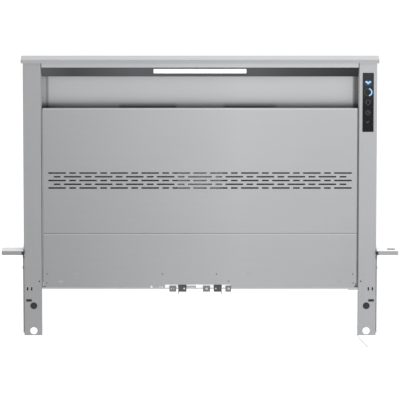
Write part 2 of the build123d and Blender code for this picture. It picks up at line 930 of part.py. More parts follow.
def rack(side):
    """Straight-sided rack up the inside of a post, its teeth to the back."""
    tip_y = rack_pitch_depth + gear_module
    tip_half = tooth_half - gear_module * flare
    root_half = tooth_half + (rack_pitch_depth - rack_root) * flare
    outline = [(rack_face, rack_low), (rack_root, rack_low)]
    for tooth in range(rack_teeth):
        middle = shaft_z + (tooth - rack_spare_teeth) * tooth_pitch
        outline += [
            (rack_root, middle - root_half),
            (tip_y, middle - tip_half),
            (tip_y, middle + tip_half),
            (rack_root, middle + root_half),
        ]
    outline += [(rack_root, rack_high), (rack_face, rack_high)]
    with BuildPart() as bar:
        with BuildSketch(Plane.YZ.offset(side * gear_x - gear_width / 2)):
            Polygon(*outline, align=None)
        extrude(amount=gear_width)
    return bar


keep(rack(-1), "rack_left")
keep(rack(1), "rack_right")


def rack_rail(side):
    """Aluminium angle on the post's outer flange that carries the rack."""
    flange = post_outer - post_sheet
    with BuildPart() as rail:
        with BuildSketch(Plane.XY.offset(rack_low)):
            way = [
                (side * flange, rack_face - rack_rail_foot),
                (side * flange, rack_face),
                (side * (gear_x - gear_width / 2), rack_face),
            ]
            folded(way, side * rack_rail_sheet)
        extrude(amount=rack_high - rack_low)
    return rail


keep(rack_rail(-1), "rack_rail_left")
keep(rack_rail(1), "rack_rail_right")


def involute(angle):
    """Involute function of a pressure angle."""
    return tan(angle) - angle


def pinion_outline():
    """Points round an involute pinion, with a gap between teeth towards -Y."""
    pitch_radius = pinion_pitch
    base_radius = pitch_radius * cos(radians(pressure_angle))
    tip_radius = pitch_radius + gear_module - tip_relief
    root_radius = pitch_radius - dedendum * gear_module
    flank = [base_radius + (tip_radius - base_radius) * i / flank_steps for i in range(flank_steps + 1)]
    half = []
    for radius in [root_radius] + flank:
        at_radius = acos(min(base_radius / radius, 1)) if radius > base_radius else 0
        opening = tooth_half / pitch_radius + involute(radians(pressure_angle)) - involute(at_radius)
        half.append((radius, opening))
    outline = []
    for tooth in range(pinion_teeth):
        middle = pi + (tooth + 0.5) * 2 * pi / pinion_teeth
        for radius, opening in half:
            outline.append((radius * cos(middle - opening), radius * sin(middle - opening)))
        for radius, opening in reversed(half):
            outline.append((radius * cos(middle + opening), radius * sin(middle + opening)))
    return outline


def pinion(side):
    """Pinion with a hub on its inner side, bored for the cross shaft."""
    hub_side = side * (gear_x - pinion_width / 2)
    with BuildPart() as wheel:
        with BuildSketch(Plane.YZ.offset(side * gear_x - pinion_width / 2)):
            with Locations((shaft_y, shaft_z)):
                Polygon(*pinion_outline(), align=None)
                Circle(shaft_radius, mode=Mode.SUBTRACT)
        extrude(amount=pinion_width)
        with BuildSketch(Plane.YZ.offset(hub_side)):
            with Locations((shaft_y, shaft_z)):
                Circle(pinion_pitch / 2 + gear_module)
                Circle(shaft_radius, mode=Mode.SUBTRACT)
        extrude(amount=-side * pinion_width / 2)
    return wheel


keep(pinion(-1), "pinion_left")
keep(pinion(1), "pinion_right")

with BuildPart() as cross_shaft:
    with BuildSketch(Plane.YZ):
        with Locations((shaft_y, shaft_z)):
            Circle(shaft_radius)
    extrude(amount=bracket_outer + shaft_end, both=True)
keep(cross_shaft, "cross_shaft")

# ---------------------------------------------------------------- fixed frame: side brackets, pads, shoes


def side_bracket(side):
    """Side bracket: an upright plate beside the post with its ear bent out under the worktop."""
    ear_middle = (ear_front + ear_rear) / 2
    with BuildPart() as bracket:
        with BuildSketch(Plane.YZ.offset(side * bracket_inner)):
            Polygon(
                (bracket_front, 0),
                (bracket_rear, 0),
                (bracket_rear, bracket_corner - bracket_drop),
                (bracket_rear - bracket_corner, -bracket_drop),
                (bracket_front, -bracket_drop),
                align=None,
            )
            with Locations(((bracket_front + tab_front) / 2, -tab_drop - tab_height / 2)):
                Rectangle(bracket_front - tab_front, tab_height)
            with Locations((shaft_y, shaft_z)):
                Circle(bush_radius + bush_fit, mode=Mode.SUBTRACT)
            with Locations(*[(y, z) for y in bracket_screw_columns for z in bracket_screw_rows]):
                Circle(bracket_screw_radius, mode=Mode.SUBTRACT)
            with Locations(*[(bolt_y, z) for z in bolt_rows]):
                small_round(bolt_radius + bolt_fit, Mode.SUBTRACT)
        extrude(amount=side * bracket_sheet)
        with BuildSketch(Plane.XY):
            with Locations((side * (bracket_inner + ear_reach) / 2, ear_middle)):
                Rectangle(ear_reach - bracket_inner, ear_rear - ear_front)
            if side > 0:
                slot_x = ear_reach - ear_slot_in - ear_slot_width / 2
                slot_y = ear_front + ear_slot_from_front + ear_slot_depth / 2
                with Locations((slot_x, slot_y)):
                    Rectangle(ear_slot_width, ear_slot_depth, mode=Mode.SUBTRACT)
        extrude(amount=-bracket_sheet)
        lip_from = bracket_outer + pad_lap
        for edge, inward in ((ear_front, 1), (ear_rear, -1)):
            with BuildSketch(Plane.XY.offset(-bracket_sheet)):
                with Locations((side * (lip_from + ear_reach) / 2, edge + inward * bracket_sheet / 2)):
                    Rectangle(ear_reach - lip_from, bracket_sheet)
            extrude(amount=-ear_lip)
    return bracket


keep(side_bracket(-1), "side_bracket_left")
keep(side_bracket(1), "side_bracket_right")


def ear_pads():
    """Black slide pads between the ears and the posts."""
    with BuildPart() as pads:
        for side in (-1, 1):
            with BuildSketch(Plane.XY.offset(-bracket_sheet)):
                inner = post_outer + pad_clearance
                outer = bracket_outer + pad_lap
                with Locations((side * (inner + bracket_inner) / 2, pad_front + pad_length / 2)):
                    Rectangle(bracket_inner - inner, pad_length)
                with Locations((side * (bracket_inner + outer) / 2, (pad_front + bracket_front) / 2)):
                    Rectangle(outer - bracket_inner, bracket_front - pad_front)
            extrude(amount=bracket_sheet - pad_height)
    return pads


keep(ear_pads(), "ear_pads")


def guide_shoes():
    """Four nylon shoes, two on each bracket, grooved for the rear edge of a post's outer flange."""
    front = outer_flange - shoe_groove
    with BuildPart() as shoes:
        for side in (-1, 1):
            for top in shoe_tops:
                with BuildSketch(Plane.XY.offset(top)):
                    with Locations((side * (bracket_inner - shoe_width / 2), (front + mouth_front) / 2)):
                        Rectangle(shoe_width, mouth_front - front)
                    with Locations((side * (post_outer - post_sheet / 2), (front + outer_flange) / 2)):
                        Rectangle(
                            post_sheet + 2 * shoe_clearance,
                            shoe_groove + 2 * shoe_clearance,
                            mode=Mode.SUBTRACT,
                        )
                extrude(amount=-shoe_height)
    return shoes


keep(guide_shoes(), "guide_shoes")

# ---------------------------------------------------------------- fixed frame: mouth frame and seal

notch_from = gear_x - pinion_width - mouth_notch_gap

with BuildPart() as mouth_frame:
    with BuildSketch(Plane.XZ.offset(-mouth_front)):
        with Locations((0, -mouth_drop / 2)):
            Rectangle(2 * bracket_inner, mouth_drop)
    extrude(amount=-mouth_sheet)
    for side in (-1, 1):
        with BuildSketch(Plane.XZ.offset(-mouth_front)):
            with Locations((side * (notch_from + bracket_inner) / 2, -mouth_drop)):
                Rectangle(bracket_inner - notch_from, 2 * (mouth_drop - mouth_notch_top))
        extrude(amount=-mouth_sheet, mode=Mode.SUBTRACT)
        with BuildSketch(Plane.YZ.offset(side * bracket_inner)):
            with Locations((mouth_back + mouth_flange / 2, -mouth_notch_top / 2)):
                Rectangle(mouth_flange, mouth_notch_top)
            with Locations(*[(bolt_y, z) for z in bolt_rows]):
                small_round(bolt_radius + bolt_fit, Mode.SUBTRACT)
        extrude(amount=-side * mouth_sheet)
    with BuildSketch(Plane.XZ.offset(-mouth_back)):
        with Locations((0, window_middle)):
            RectangleRounded(2 * window_half, window_height, window_corner)
    extrude(amount=2 * mouth_sheet, mode=Mode.SUBTRACT)
keep(mouth_frame, "mouth_frame")

with BuildPart() as mouth_seal:
    with BuildSketch(Plane.XZ.offset(-mouth_front)):
        with Locations((0, window_middle)):
            seal_half = window_half + seal_margin + seal_width
            RectangleRounded(2 * seal_half, window_height + 2 * (seal_margin + seal_band), window_corner)
            RectangleRounded(
                2 * (window_half + seal_margin),
                window_height + 2 * seal_margin,
                window_corner,
                mode=Mode.SUBTRACT,
            )
    extrude(amount=mouth_front - rear_back - seal_clearance)
keep(mouth_seal, "mouth_seal")


def frame_bolts():
    """Bolts with nuts through the brackets and the mouth frame's side flanges."""
    with BuildPart() as bolts:
        for side in (-1, 1):
            head = side * bracket_outer
            inside = side * (bracket_inner - mouth_sheet)
            for z in bolt_rows:
                with BuildSketch(Plane.YZ.offset(head)):
                    with Locations((bolt_y, z)):
                        RegularPolygon(bolt_head_radius, 6)
                extrude(amount=side * bolt_head_height)
                with BuildSketch(Plane.YZ.offset(head)):
                    with Locations((bolt_y, z)):
                        small_round(bolt_radius)
                extrude(amount=-side * (bracket_sheet + mouth_sheet))
                with BuildSketch(Plane.YZ.offset(inside)):
                    with Locations((bolt_y, z)):
                        RegularPolygon(bolt_head_radius, 6)
                extrude(amount=-side * bolt_nut_height)
    return bolts


keep(frame_bolts(), "frame_bolts")

# ---------------------------------------------------------------- fixed frame: plenum and blower

chamber_rear = outlet_outer + scroll_sheet + chamber_margin
slope_end = plenum_step + plenum_slope

with BuildPart() as plenum:
    with BuildSketch(Plane.YZ):
        Polygon(
            (mouth_back, -plenum_top),
            (mouth_back, -plenum_bottom),
            (plenum_step, -plenum_bottom),
            (slope_end, -chamber_bottom),
            (chamber_rear, -chamber_bottom),
            (chamber_rear, -chamber_top),
            (plenum_rear, -chamber_top),
            (plenum_rear, -plenum_top),
            align=None,
        )
    extrude(amount=plenum_half, both=True)
    with BuildSketch(Plane.XY.offset(-chamber_bottom)):
        Polygon(
            (plenum_half, 0),
            (plenum_half, taper_start),
            (chamber_half, taper_end),
            (chamber_half, chamber_rear),
            (-chamber_half, chamber_rear),
            (-chamber_half, taper_end),
            (-plenum_half, taper_start),
            (-plenum_half, 0),
            align=None,
        )
    extrude(amount=chamber_bottom, mode=Mode.INTERSECT)
    offset(amount=-plenum_sheet, openings=plenum.faces().sort_by(Axis.Y)[0])
    with BuildSketch(Plane.XY.offset(-chamber_top)):
        with Locations((0, fan_y)):
            Circle(inlet_radius)
    extrude(amount=-2 * plenum_sheet, mode=Mode.SUBTRACT)
keep(plenum, "plenum")

arc_one = (-scroll_growth / 2, fan_y - scroll_growth / 2)
arc_two = (-scroll_growth / 2, fan_y + scroll_growth / 2)
arc_three = (scroll_growth / 2, fan_y + scroll_growth / 2)


def scroll_face(grow, reach):
    """Face inside the scroll, grown by grow: three widening quarter arcs, then the outlet."""
    first = scroll_start + grow
    second = first + scroll_growth
    third = second + scroll_growth
    start = (arc_one[0] + first, arc_one[1])
    inner_wall = outlet_inner - grow
    with BuildSketch(mode=Mode.PRIVATE) as scroll:
        with BuildLine():
            CenterArc(arc_one, first, 0, -90)
            CenterArc(arc_two, second, -90, -90)
            CenterArc(arc_three, third, 180, -90)
            Polyline((arc_three[0], arc_three[1] + third), (reach, arc_three[1] + third), (reach, inner_wall))
            inner = Line((reach, inner_wall), (start[0] + tongue_radius - grow, inner_wall))
            JernArc(inner @ 1, (-1, 0), tongue_radius - grow, 90)
            Line((start[0], inner_wall - tongue_radius + grow), start)
        make_face()
    return scroll.sketch


with BuildPart() as blower_scroll:
    with BuildSketch(Plane.XY.offset(scroll_floor)):
        add(scroll_face(scroll_sheet, scroll_reach))
    extrude(amount=scroll_height)
    with BuildSketch(Plane.XY.offset(scroll_floor + scroll_sheet)):
        add(scroll_face(0, scroll_reach + scroll_sheet))
    extrude(amount=scroll_height, mode=Mode.SUBTRACT)
    with BuildSketch(Plane.XY.offset(scroll_floor)):
        with Locations((0, fan_y)):
            Circle(inlet_radius)
    extrude(amount=scroll_sheet, mode=Mode.SUBTRACT)
keep(blower_scroll, "blower_scroll")

with BuildPart() as blower_cover:
    with BuildSketch(Plane.XY.offset(scroll_top)):
        add(scroll_face(scroll_sheet, scroll_reach))
        with Locations((0, fan_y)):
            Circle(motor_radius + motor_run, mode=Mode.SUBTRACT)
            with PolarLocations(motor_screw_ring, motor_screw_count):
                small_round(motor_screw_radius, Mode.SUBTRACT)
    extrude(amount=scroll_sheet)
keep(blower_cover, "blower_cover")

motor_seat = scroll_top + scroll_sheet
motor_bottom = motor_seat - motor_length

with BuildPart() as fan_motor:
    with BuildSketch(Plane.XY.offset(motor_seat)):
        with Locations((0, fan_y)):
            Circle(motor_flange_radius)
            with PolarLocations(motor_screw_ring, motor_screw_count):
                small_round(motor_screw_radius, Mode.SUBTRACT)
    extrude(amount=motor_flange)
    with BuildSketch(Plane.XY.offset(motor_seat)):
        with Locations((0, fan_y)):
            Circle(motor_radius)
    extrude(amount=-motor_length)
    with BuildSketch(Plane.XY.offset(motor_bottom)):
        with Locations((0, fan_y)):
            Circle(motor_shaft_radius)
    extrude(amount=-motor_shaft_length)
keep(fan_motor, "fan_motor")

with BuildPart() as motor_screw_set:
    with BuildSketch(Plane.XY.offset(motor_seat + motor_flange)):
        with Locations((0, fan_y)):
            with PolarLocations(motor_screw_ring, motor_screw_count):
                small_round(motor_screw_head)
    extrude(amount=motor_screw_head_height)
    with BuildSketch(Plane.XY.offset(motor_seat + motor_flange)):
        with Locations((0, fan_y)):
            with PolarLocations(motor_screw_ring, motor_screw_count):
                small_round(motor_screw_radius - motor_run)
    extrude(amount=-motor_flange - scroll_sheet)
keep(motor_screw_set, "motor_screws")

# Bell-mouth of the blower's inlet, seated in the scroll's floor
inlet_base = scroll_floor + scroll_sheet
with BuildPart() as inlet_ring:
    with BuildSketch(Plane.XZ.offset(-fan_y)):
        folded(
            [
                (inlet_radius + inlet_lip, inlet_base + inlet_sheet),
                (inlet_radius - inlet_sheet, inlet_base + inlet_sheet),
                (inlet_throat, inlet_base + inlet_lip),
                (inlet_throat, inlet_base + inlet_depth),
            ],
            inlet_sheet,
        )
    revolve(axis=Axis((0, fan_y, 0), (0, 0, 1)))
keep(inlet_ring, "inlet_ring")

fan_bottom = inlet_base + fan_bottom_gap
fan_top = fan_bottom + fan_height
hub_inner = motor_radius + hub_gap
hub_bottom = fan_top - hub_drop


def blade_face(angle):
    """Section of the curved blade that starts at an angle round the wheel, in degrees."""
    inner = Vector(fan_inner_radius, 0).rotate(Axis.Z, angle)
    outer = Vector(fan_radius - fan_sheet, 0).rotate(Axis.Z, angle - blade_lead)
    across = (outer - inner).normalized().rotate(Axis.Z, 90)
    middle = (inner + outer) * 0.5 + across * blade_bow
    way = [(point.X, fan_y + point.Y) for point in (inner, middle, outer)]
    return folded(way, blade_sheet)


with BuildPart() as impeller:
    with BuildSketch(Plane.XY.offset(fan_bottom)):
        with Locations((0, fan_y)):
            Circle(fan_radius)
            Circle(fan_radius - fan_ring_width, mode=Mode.SUBTRACT)
    extrude(amount=fan_sheet)
    with BuildSketch(Plane.XY.offset(fan_top)):
        with Locations((0, fan_y)):
            Circle(fan_radius)
            Circle(hub_inner, mode=Mode.SUBTRACT)
    extrude(amount=-fan_sheet)
    with BuildSketch(Plane.XY.offset(fan_top)):
        with Locations((0, fan_y)):
            Circle(hub_inner + fan_sheet)
            Circle(hub_inner, mode=Mode.SUBTRACT)
    extrude(amount=-hub_drop)
    with BuildSketch(Plane.XY.offset(hub_bottom)):
        with Locations((0, fan_y)):
            Circle(hub_inner + fan_sheet)
            Circle(motor_shaft_radius + motor_run, mode=Mode.SUBTRACT)
    extrude(amount=-fan_sheet)
    with BuildSketch(Plane.XY.offset(hub_bottom - fan_sheet)):
        with Locations((0, fan_y)):
            Circle(2 * motor_shaft_radius)
            Circle(motor_shaft_radius + motor_run, mode=Mode.SUBTRACT)
    extrude(amount=-motor_shaft_radius)
    with BuildSketch(Plane.XY.offset(fan_bottom)):
        for blade in range(fan_blades):
            blade_face(blade * 360 / fan_blades)
    extrude(amount=fan_height)
keep(impeller, "impeller")

# ---------------------------------------------------------------- fixed frame: outlet collar and damper

outlet_width = outlet_outer - outlet_inner
outlet_z = scroll_floor + scroll_height / 2
adapter_half = collar_radius + adapter_margin
pin_x = collar_end - flap_from_end
pin_z = collar_z + flap_pin_up

with BuildPart() as outlet_collar:
    with BuildSketch(Plane.YZ.offset(scroll_reach)):
        with Locations((outlet_middle, outlet_z)):
            Rectangle(outlet_width + 2 * scroll_sheet, scroll_height)
    with BuildSketch(Plane.YZ.offset(collar_start)):
        with Locations((outlet_middle, collar_z)):
            Rectangle(2 * adapter_half, 2 * adapter_half)
    loft(ruled=True)
    with BuildSketch(Plane.YZ.offset(scroll_reach)):
        with Locations((outlet_middle, outlet_z)):
            Rectangle(outlet_width, scroll_height - 2 * scroll_sheet)
    with BuildSketch(Plane.YZ.offset(collar_start - collar_sheet)):
        with Locations((outlet_middle, collar_z)):
            Rectangle(2 * (adapter_half - collar_sheet), 2 * (adapter_half - collar_sheet))
    loft(ruled=True, mode=Mode.SUBTRACT)
    with BuildSketch(Plane.YZ.offset(collar_start)):
        with Locations((outlet_middle, collar_z)):
            Circle(collar_radius)
    extrude(amount=collar_length)
    with BuildSketch(Plane.YZ.offset(collar_end)):
        with Locations((outlet_middle, collar_z)):
            Circle(collar_radius - collar_sheet)
    extrude(amount=-collar_length - collar_sheet, mode=Mode.SUBTRACT)
    with BuildSketch(Plane.XZ.offset(-outlet_middle)):
        with Locations((pin_x, pin_z)):
            Circle(flap_pin_radius + flap_pin_run)
    extrude(amount=2 * collar_radius, both=True, mode=Mode.SUBTRACT)
keep(outlet_collar, "outlet_collar")

pin_half = sqrt(collar_radius**2 - flap_pin_up**2) - flap_pin_short

with BuildPart() as damper_flap:
    with BuildSketch(Plane.YZ.offset(pin_x - flap_thickness / 2)):
        with Locations((outlet_middle, collar_z)):
            Circle(flap_radius)
    extrude(amount=flap_thickness)
    with BuildSketch(Plane.XZ.offset(-outlet_middle)):
        with Locations((pin_x, pin_z)):
            Circle(flap_barrel_radius)
    extrude(amount=flap_barrel_length / 2, both=True)
    with BuildSketch(Plane.XZ.offset(-outlet_middle)):
        with Locations((pin_x, pin_z)):
            Circle(flap_pin_radius)
    extrude(amount=pin_half, both=True)
keep(damper_flap, "damper_flap")

# ---------------------------------------------------------------- fixed frame: lift motor, gearbox, bushes

lift_motor_y = shaft_y + motor_back
gearbox_bottom = shaft_z - gearbox_floor
gearbox_top = gearbox_bottom + gearbox_height
foot_bottom = gearbox_top - gearbox_bridge

with BuildPart() as gearbox:
    with BuildSketch(Plane.YZ.offset(gearbox_x - gearbox_width / 2)):
        with Locations((shaft_y, shaft_z)):
            Circle(gearbox_nose)
        with Locations((lift_motor_y, (gearbox_bottom + gearbox_top) / 2)):
            Rectangle(gearbox_depth, gearbox_height)
        with Locations(((mouth_back + lift_motor_y) / 2, (foot_bottom + gearbox_top) / 2)):
            Rectangle(lift_motor_y - mouth_back, gearbox_bridge)
        with Locations((shaft_y, shaft_z)):
            Circle(shaft_radius + shaft_run, mode=Mode.SUBTRACT)
    extrude(amount=gearbox_width)
    with BuildSketch(Plane.XZ.offset(-mouth_back)):
        with Locations((gearbox_x, foot_bottom + gearbox_foot_height / 2)):
            Rectangle(gearbox_foot_width, gearbox_foot_height)
    extrude(amount=-gearbox_foot_sheet)
keep(gearbox, "gearbox")

with BuildPart() as lift_motor:
    with BuildSketch(Plane.XY.offset(gearbox_top)):
        with Locations((gearbox_x, lift_motor_y)):
            Circle(lift_motor_radius)
    extrude(amount=lift_motor_length)
    chamfer(lift_motor.faces().sort_by(Axis.Z)[-1].edges(), lift_motor_edge)
    with BuildSketch(Plane.XY.offset(gearbox_top + lift_motor_length)):
        with Locations((gearbox_x, lift_motor_y)):
            Circle(lift_motor_cap_radius)
    extrude(amount=lift_motor_cap)
keep(lift_motor, "lift_motor")

with BuildPart() as shaft_bushes:
    for side in (-1, 1):
        with BuildSketch(Plane.YZ.offset(side * bracket_inner)):
            with Locations((shaft_y, shaft_z)):
                Circle(bush_flange_radius)
                Circle(shaft_radius + shaft_run, mode=Mode.SUBTRACT)
        extrude(amount=-side * bush_flange)
        with BuildSketch(Plane.YZ.offset(side * bracket_inner)):
            with Locations((shaft_y, shaft_z)):
                Circle(bush_radius)
                Circle(shaft_radius + shaft_run, mode=Mode.SUBTRACT)
        extrude(amount=side * bracket_sheet)
keep(shaft_bushes, "shaft_bushes")

# ---------------------------------------------------------------- position sensor and its magnets

with BuildPart() as position_sensor:
    with BuildSketch(Plane.XZ.offset(-mouth_front)):
        with Locations((-sensor_x, -sensor_drop)):
            Rectangle(sensor_width, sensor_height)
    extrude(amount=mouth_front - rear_back - sensor_magnet_thickness - sensor_gap)
    chamfer(position_sensor.faces().sort_by(Axis.Y)[0].edges(), sensor_edge)
keep(position_sensor, "position_sensor")

with BuildPart() as sensor_magnets:
    with BuildSketch(Plane.XZ.offset(-rear_back - sensor_magnet_thickness)):
        with Locations((-sensor_x, -sensor_drop), (-sensor_x, -sensor_drop + travel)):
            Rectangle(sensor_width, sensor_width)
    extrude(amount=sensor_magnet_thickness)
keep(sensor_magnets, "sensor_magnets")

# ---------------------------------------------------------------- power box on the plenum's rear wall

power_box_z = -power_box_top - power_box_height / 2
power_box_back = plenum_rear + power_box_depth

with BuildPart() as power_box:
    with BuildSketch(Plane.XZ.offset(-plenum_rear)):
        with Locations((power_box_x, power_box_z)):
            Rectangle(power_box_width, power_box_height)
    extrude(amount=-power_box_depth)
    with BuildSketch(Plane.XZ.offset(-plenum_rear - power_box_wall)):
        with Locations((power_box_x, power_box_z)):
            Rectangle(power_box_width - 2 * power_box_wall, power_box_height - 2 * power_box_wall)
    extrude(amount=-power_box_depth, mode=Mode.SUBTRACT)
    with BuildSketch(Plane.YZ.offset(power_box_x - power_box_width / 2)):
        with Locations((plenum_rear + power_box_depth / 2, power_box_z)):
            Circle(gland_radius)
    extrude(amount=power_box_wall, mode=Mode.SUBTRACT)
keep(power_box, "power_box")

with BuildPart() as power_box_cover:
    with BuildSketch(Plane.XZ.offset(-power_box_back)):
        with Locations((power_box_x, power_box_z)):
            Rectangle(power_box_width, power_box_height)
    extrude(amount=-power_box_wall)
keep(power_box_cover, "power_box_cover")

with BuildPart() as cable_gland:
    with BuildSketch(Plane.YZ.offset(power_box_x - power_box_width / 2)):
        with Locations((plenum_rear + power_box_depth / 2, power_box_z)):
            RegularPolygon(gland_nut, 6)
            Circle(gland_bore, mode=Mode.SUBTRACT)
    extrude(amount=-gland_length / 2)
    with BuildSketch(Plane.YZ.offset(power_box_x - power_box_width / 2 + power_box_wall)):
        with Locations((plenum_rear + power_box_depth / 2, power_box_z)):
            Circle(gland_radius)
            Circle(gland_bore, mode=Mode.SUBTRACT)
    extrude(amount=-gland_length - power_box_wall)
keep(cable_gland, "cable_gland")
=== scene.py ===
import logging
import math
from collections.abc import Callable, Iterable
from dataclasses import dataclass
from enum import Enum
from functools import cache

import bpy
from mathutils import Matrix, Vector


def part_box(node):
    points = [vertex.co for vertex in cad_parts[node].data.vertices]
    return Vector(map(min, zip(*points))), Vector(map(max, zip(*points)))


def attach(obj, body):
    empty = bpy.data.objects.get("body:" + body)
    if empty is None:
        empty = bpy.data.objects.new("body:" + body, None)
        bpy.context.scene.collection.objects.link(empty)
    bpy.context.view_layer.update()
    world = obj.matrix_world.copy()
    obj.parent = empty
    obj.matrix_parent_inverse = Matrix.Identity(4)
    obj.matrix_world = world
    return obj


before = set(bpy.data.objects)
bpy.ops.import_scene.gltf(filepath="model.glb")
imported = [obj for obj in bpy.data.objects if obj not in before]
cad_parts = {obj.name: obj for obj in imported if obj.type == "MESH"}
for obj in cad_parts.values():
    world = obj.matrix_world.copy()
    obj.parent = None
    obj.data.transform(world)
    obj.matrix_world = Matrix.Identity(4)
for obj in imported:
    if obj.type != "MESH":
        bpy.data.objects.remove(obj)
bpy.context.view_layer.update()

LOG = logging.getLogger("downdraft_vent")
MM = 0.001

Colour = tuple[float, float, float]
Point = tuple[float, float, float]
Span = tuple[float, float]
Stops = tuple[Span, ...]
Places = tuple[float, ...]
Rows = tuple[Places, ...]
Socket = bpy.types.NodeSocket
Filling = Socket | float | tuple[float, ...]

FRONT: Point = (0.0, -1.0, 0.0)
BACK: Point = (0.0, 1.0, 0.0)
UP: Point = (0.0, 0.0, 1.0)

WHITE: Colour = (1.0, 1.0, 1.0)
PLAIN = (*WHITE, 1.0)  # leaves a tone as it is when it multiplies it
NOISE_VALUES = (0.3, 0.7)  # what a noise pattern mostly stays between
FAINT = (0.985, 1.012)  # shares of its tone that a brushed sheet goes between
DUCT_HALF = 0.405  # half of the air duct's width, in metres
WAVE_WIDTH = 0.3183  # width that a wave pattern is set by at scale 1, in metres


class Body(Enum):
    """Bodies of the vent that the added pieces ride on."""

    FRAME = "frame"
    CHIMNEY = "chimney"


class Grain(Enum):
    """Way that a sheet was brushed or rolled, as stretch of its pattern along X, Y and Z."""

    ACROSS = (0.012, 1.0, 1.0)
    DEEP = (1.0, 0.012, 1.0)
    UPRIGHT = (1.0, 1.0, 0.012)


class Axis(Enum):
    """Way that a round piece points, as the turn of a primitive that stands along Z."""

    X = (0.0, math.pi / 2, 0.0)
    Y = (math.pi / 2, 0.0, 0.0)
    Z = (0.0, 0.0, 0.0)


# ---- node trees ----


class NodeTree:
    """Nodes of a material or of the world."""

    def __init__(self, owner: bpy.types.Material | bpy.types.World) -> None:
        """Starts an empty tree.

        Args:
            owner: Material or world that holds the tree.
        """
        owner.use_nodes = True
        self.tree = owner.node_tree
        self.tree.nodes.clear()

    def add(self, kind: str, *first: Filling, **named: Filling) -> bpy.types.Node:
        """Adds a node.

        Args:
            kind: Kind of node, as Blender names it after ShaderNode.
            first: Numbers, colours or sockets for its first inputs, in their order.
            named: The same for inputs by name, with underscores for spaces.

        Returns:
            The node.
        """
        node = self.tree.nodes.new(f"ShaderNode{kind}")
        self.fill(node, {**dict(enumerate(first)), **named})
        return node

    def fill(self, node: bpy.types.Node, values: dict[int | str, Filling]) -> None:
        """Fills inputs of a node.

        Args:
            node: The node.
            values: Numbers, colours or sockets, by number or name of the input.
        """
        for key, value in values.items():
            socket = node.inputs[key.replace("_", " ") if isinstance(key, str) else key]
            if isinstance(value, Socket):
                self.tree.links.new(value, socket)
            else:
                socket.default_value = value

    def maths(self, kind: str, *values: Socket | float) -> Socket:
        """Returns the result of a Math node of the kind."""
        node = self.add("Math", *values)
        node.operation = kind
        return node.outputs[0]

    def split(self, lighting: Socket, shown: Socket, output: str) -> None:
        """Ends the tree with one shader for what lights and one for what is seen.

        Args:
            lighting: Shader for diffuse rays.
            shown: Shader for camera, glossy and transmission rays.
            output: Kind of the output node.
        """
        rays = self.add("LightPath").outputs
        seen = self.maths("MAXIMUM", rays["Is Camera Ray"], rays["Is Glossy Ray"])
        seen = self.maths("MAXIMUM", seen, rays["Is Transmission Ray"])
        self.add(output, self.add("MixShader", seen, lighting, shown).outputs[0])


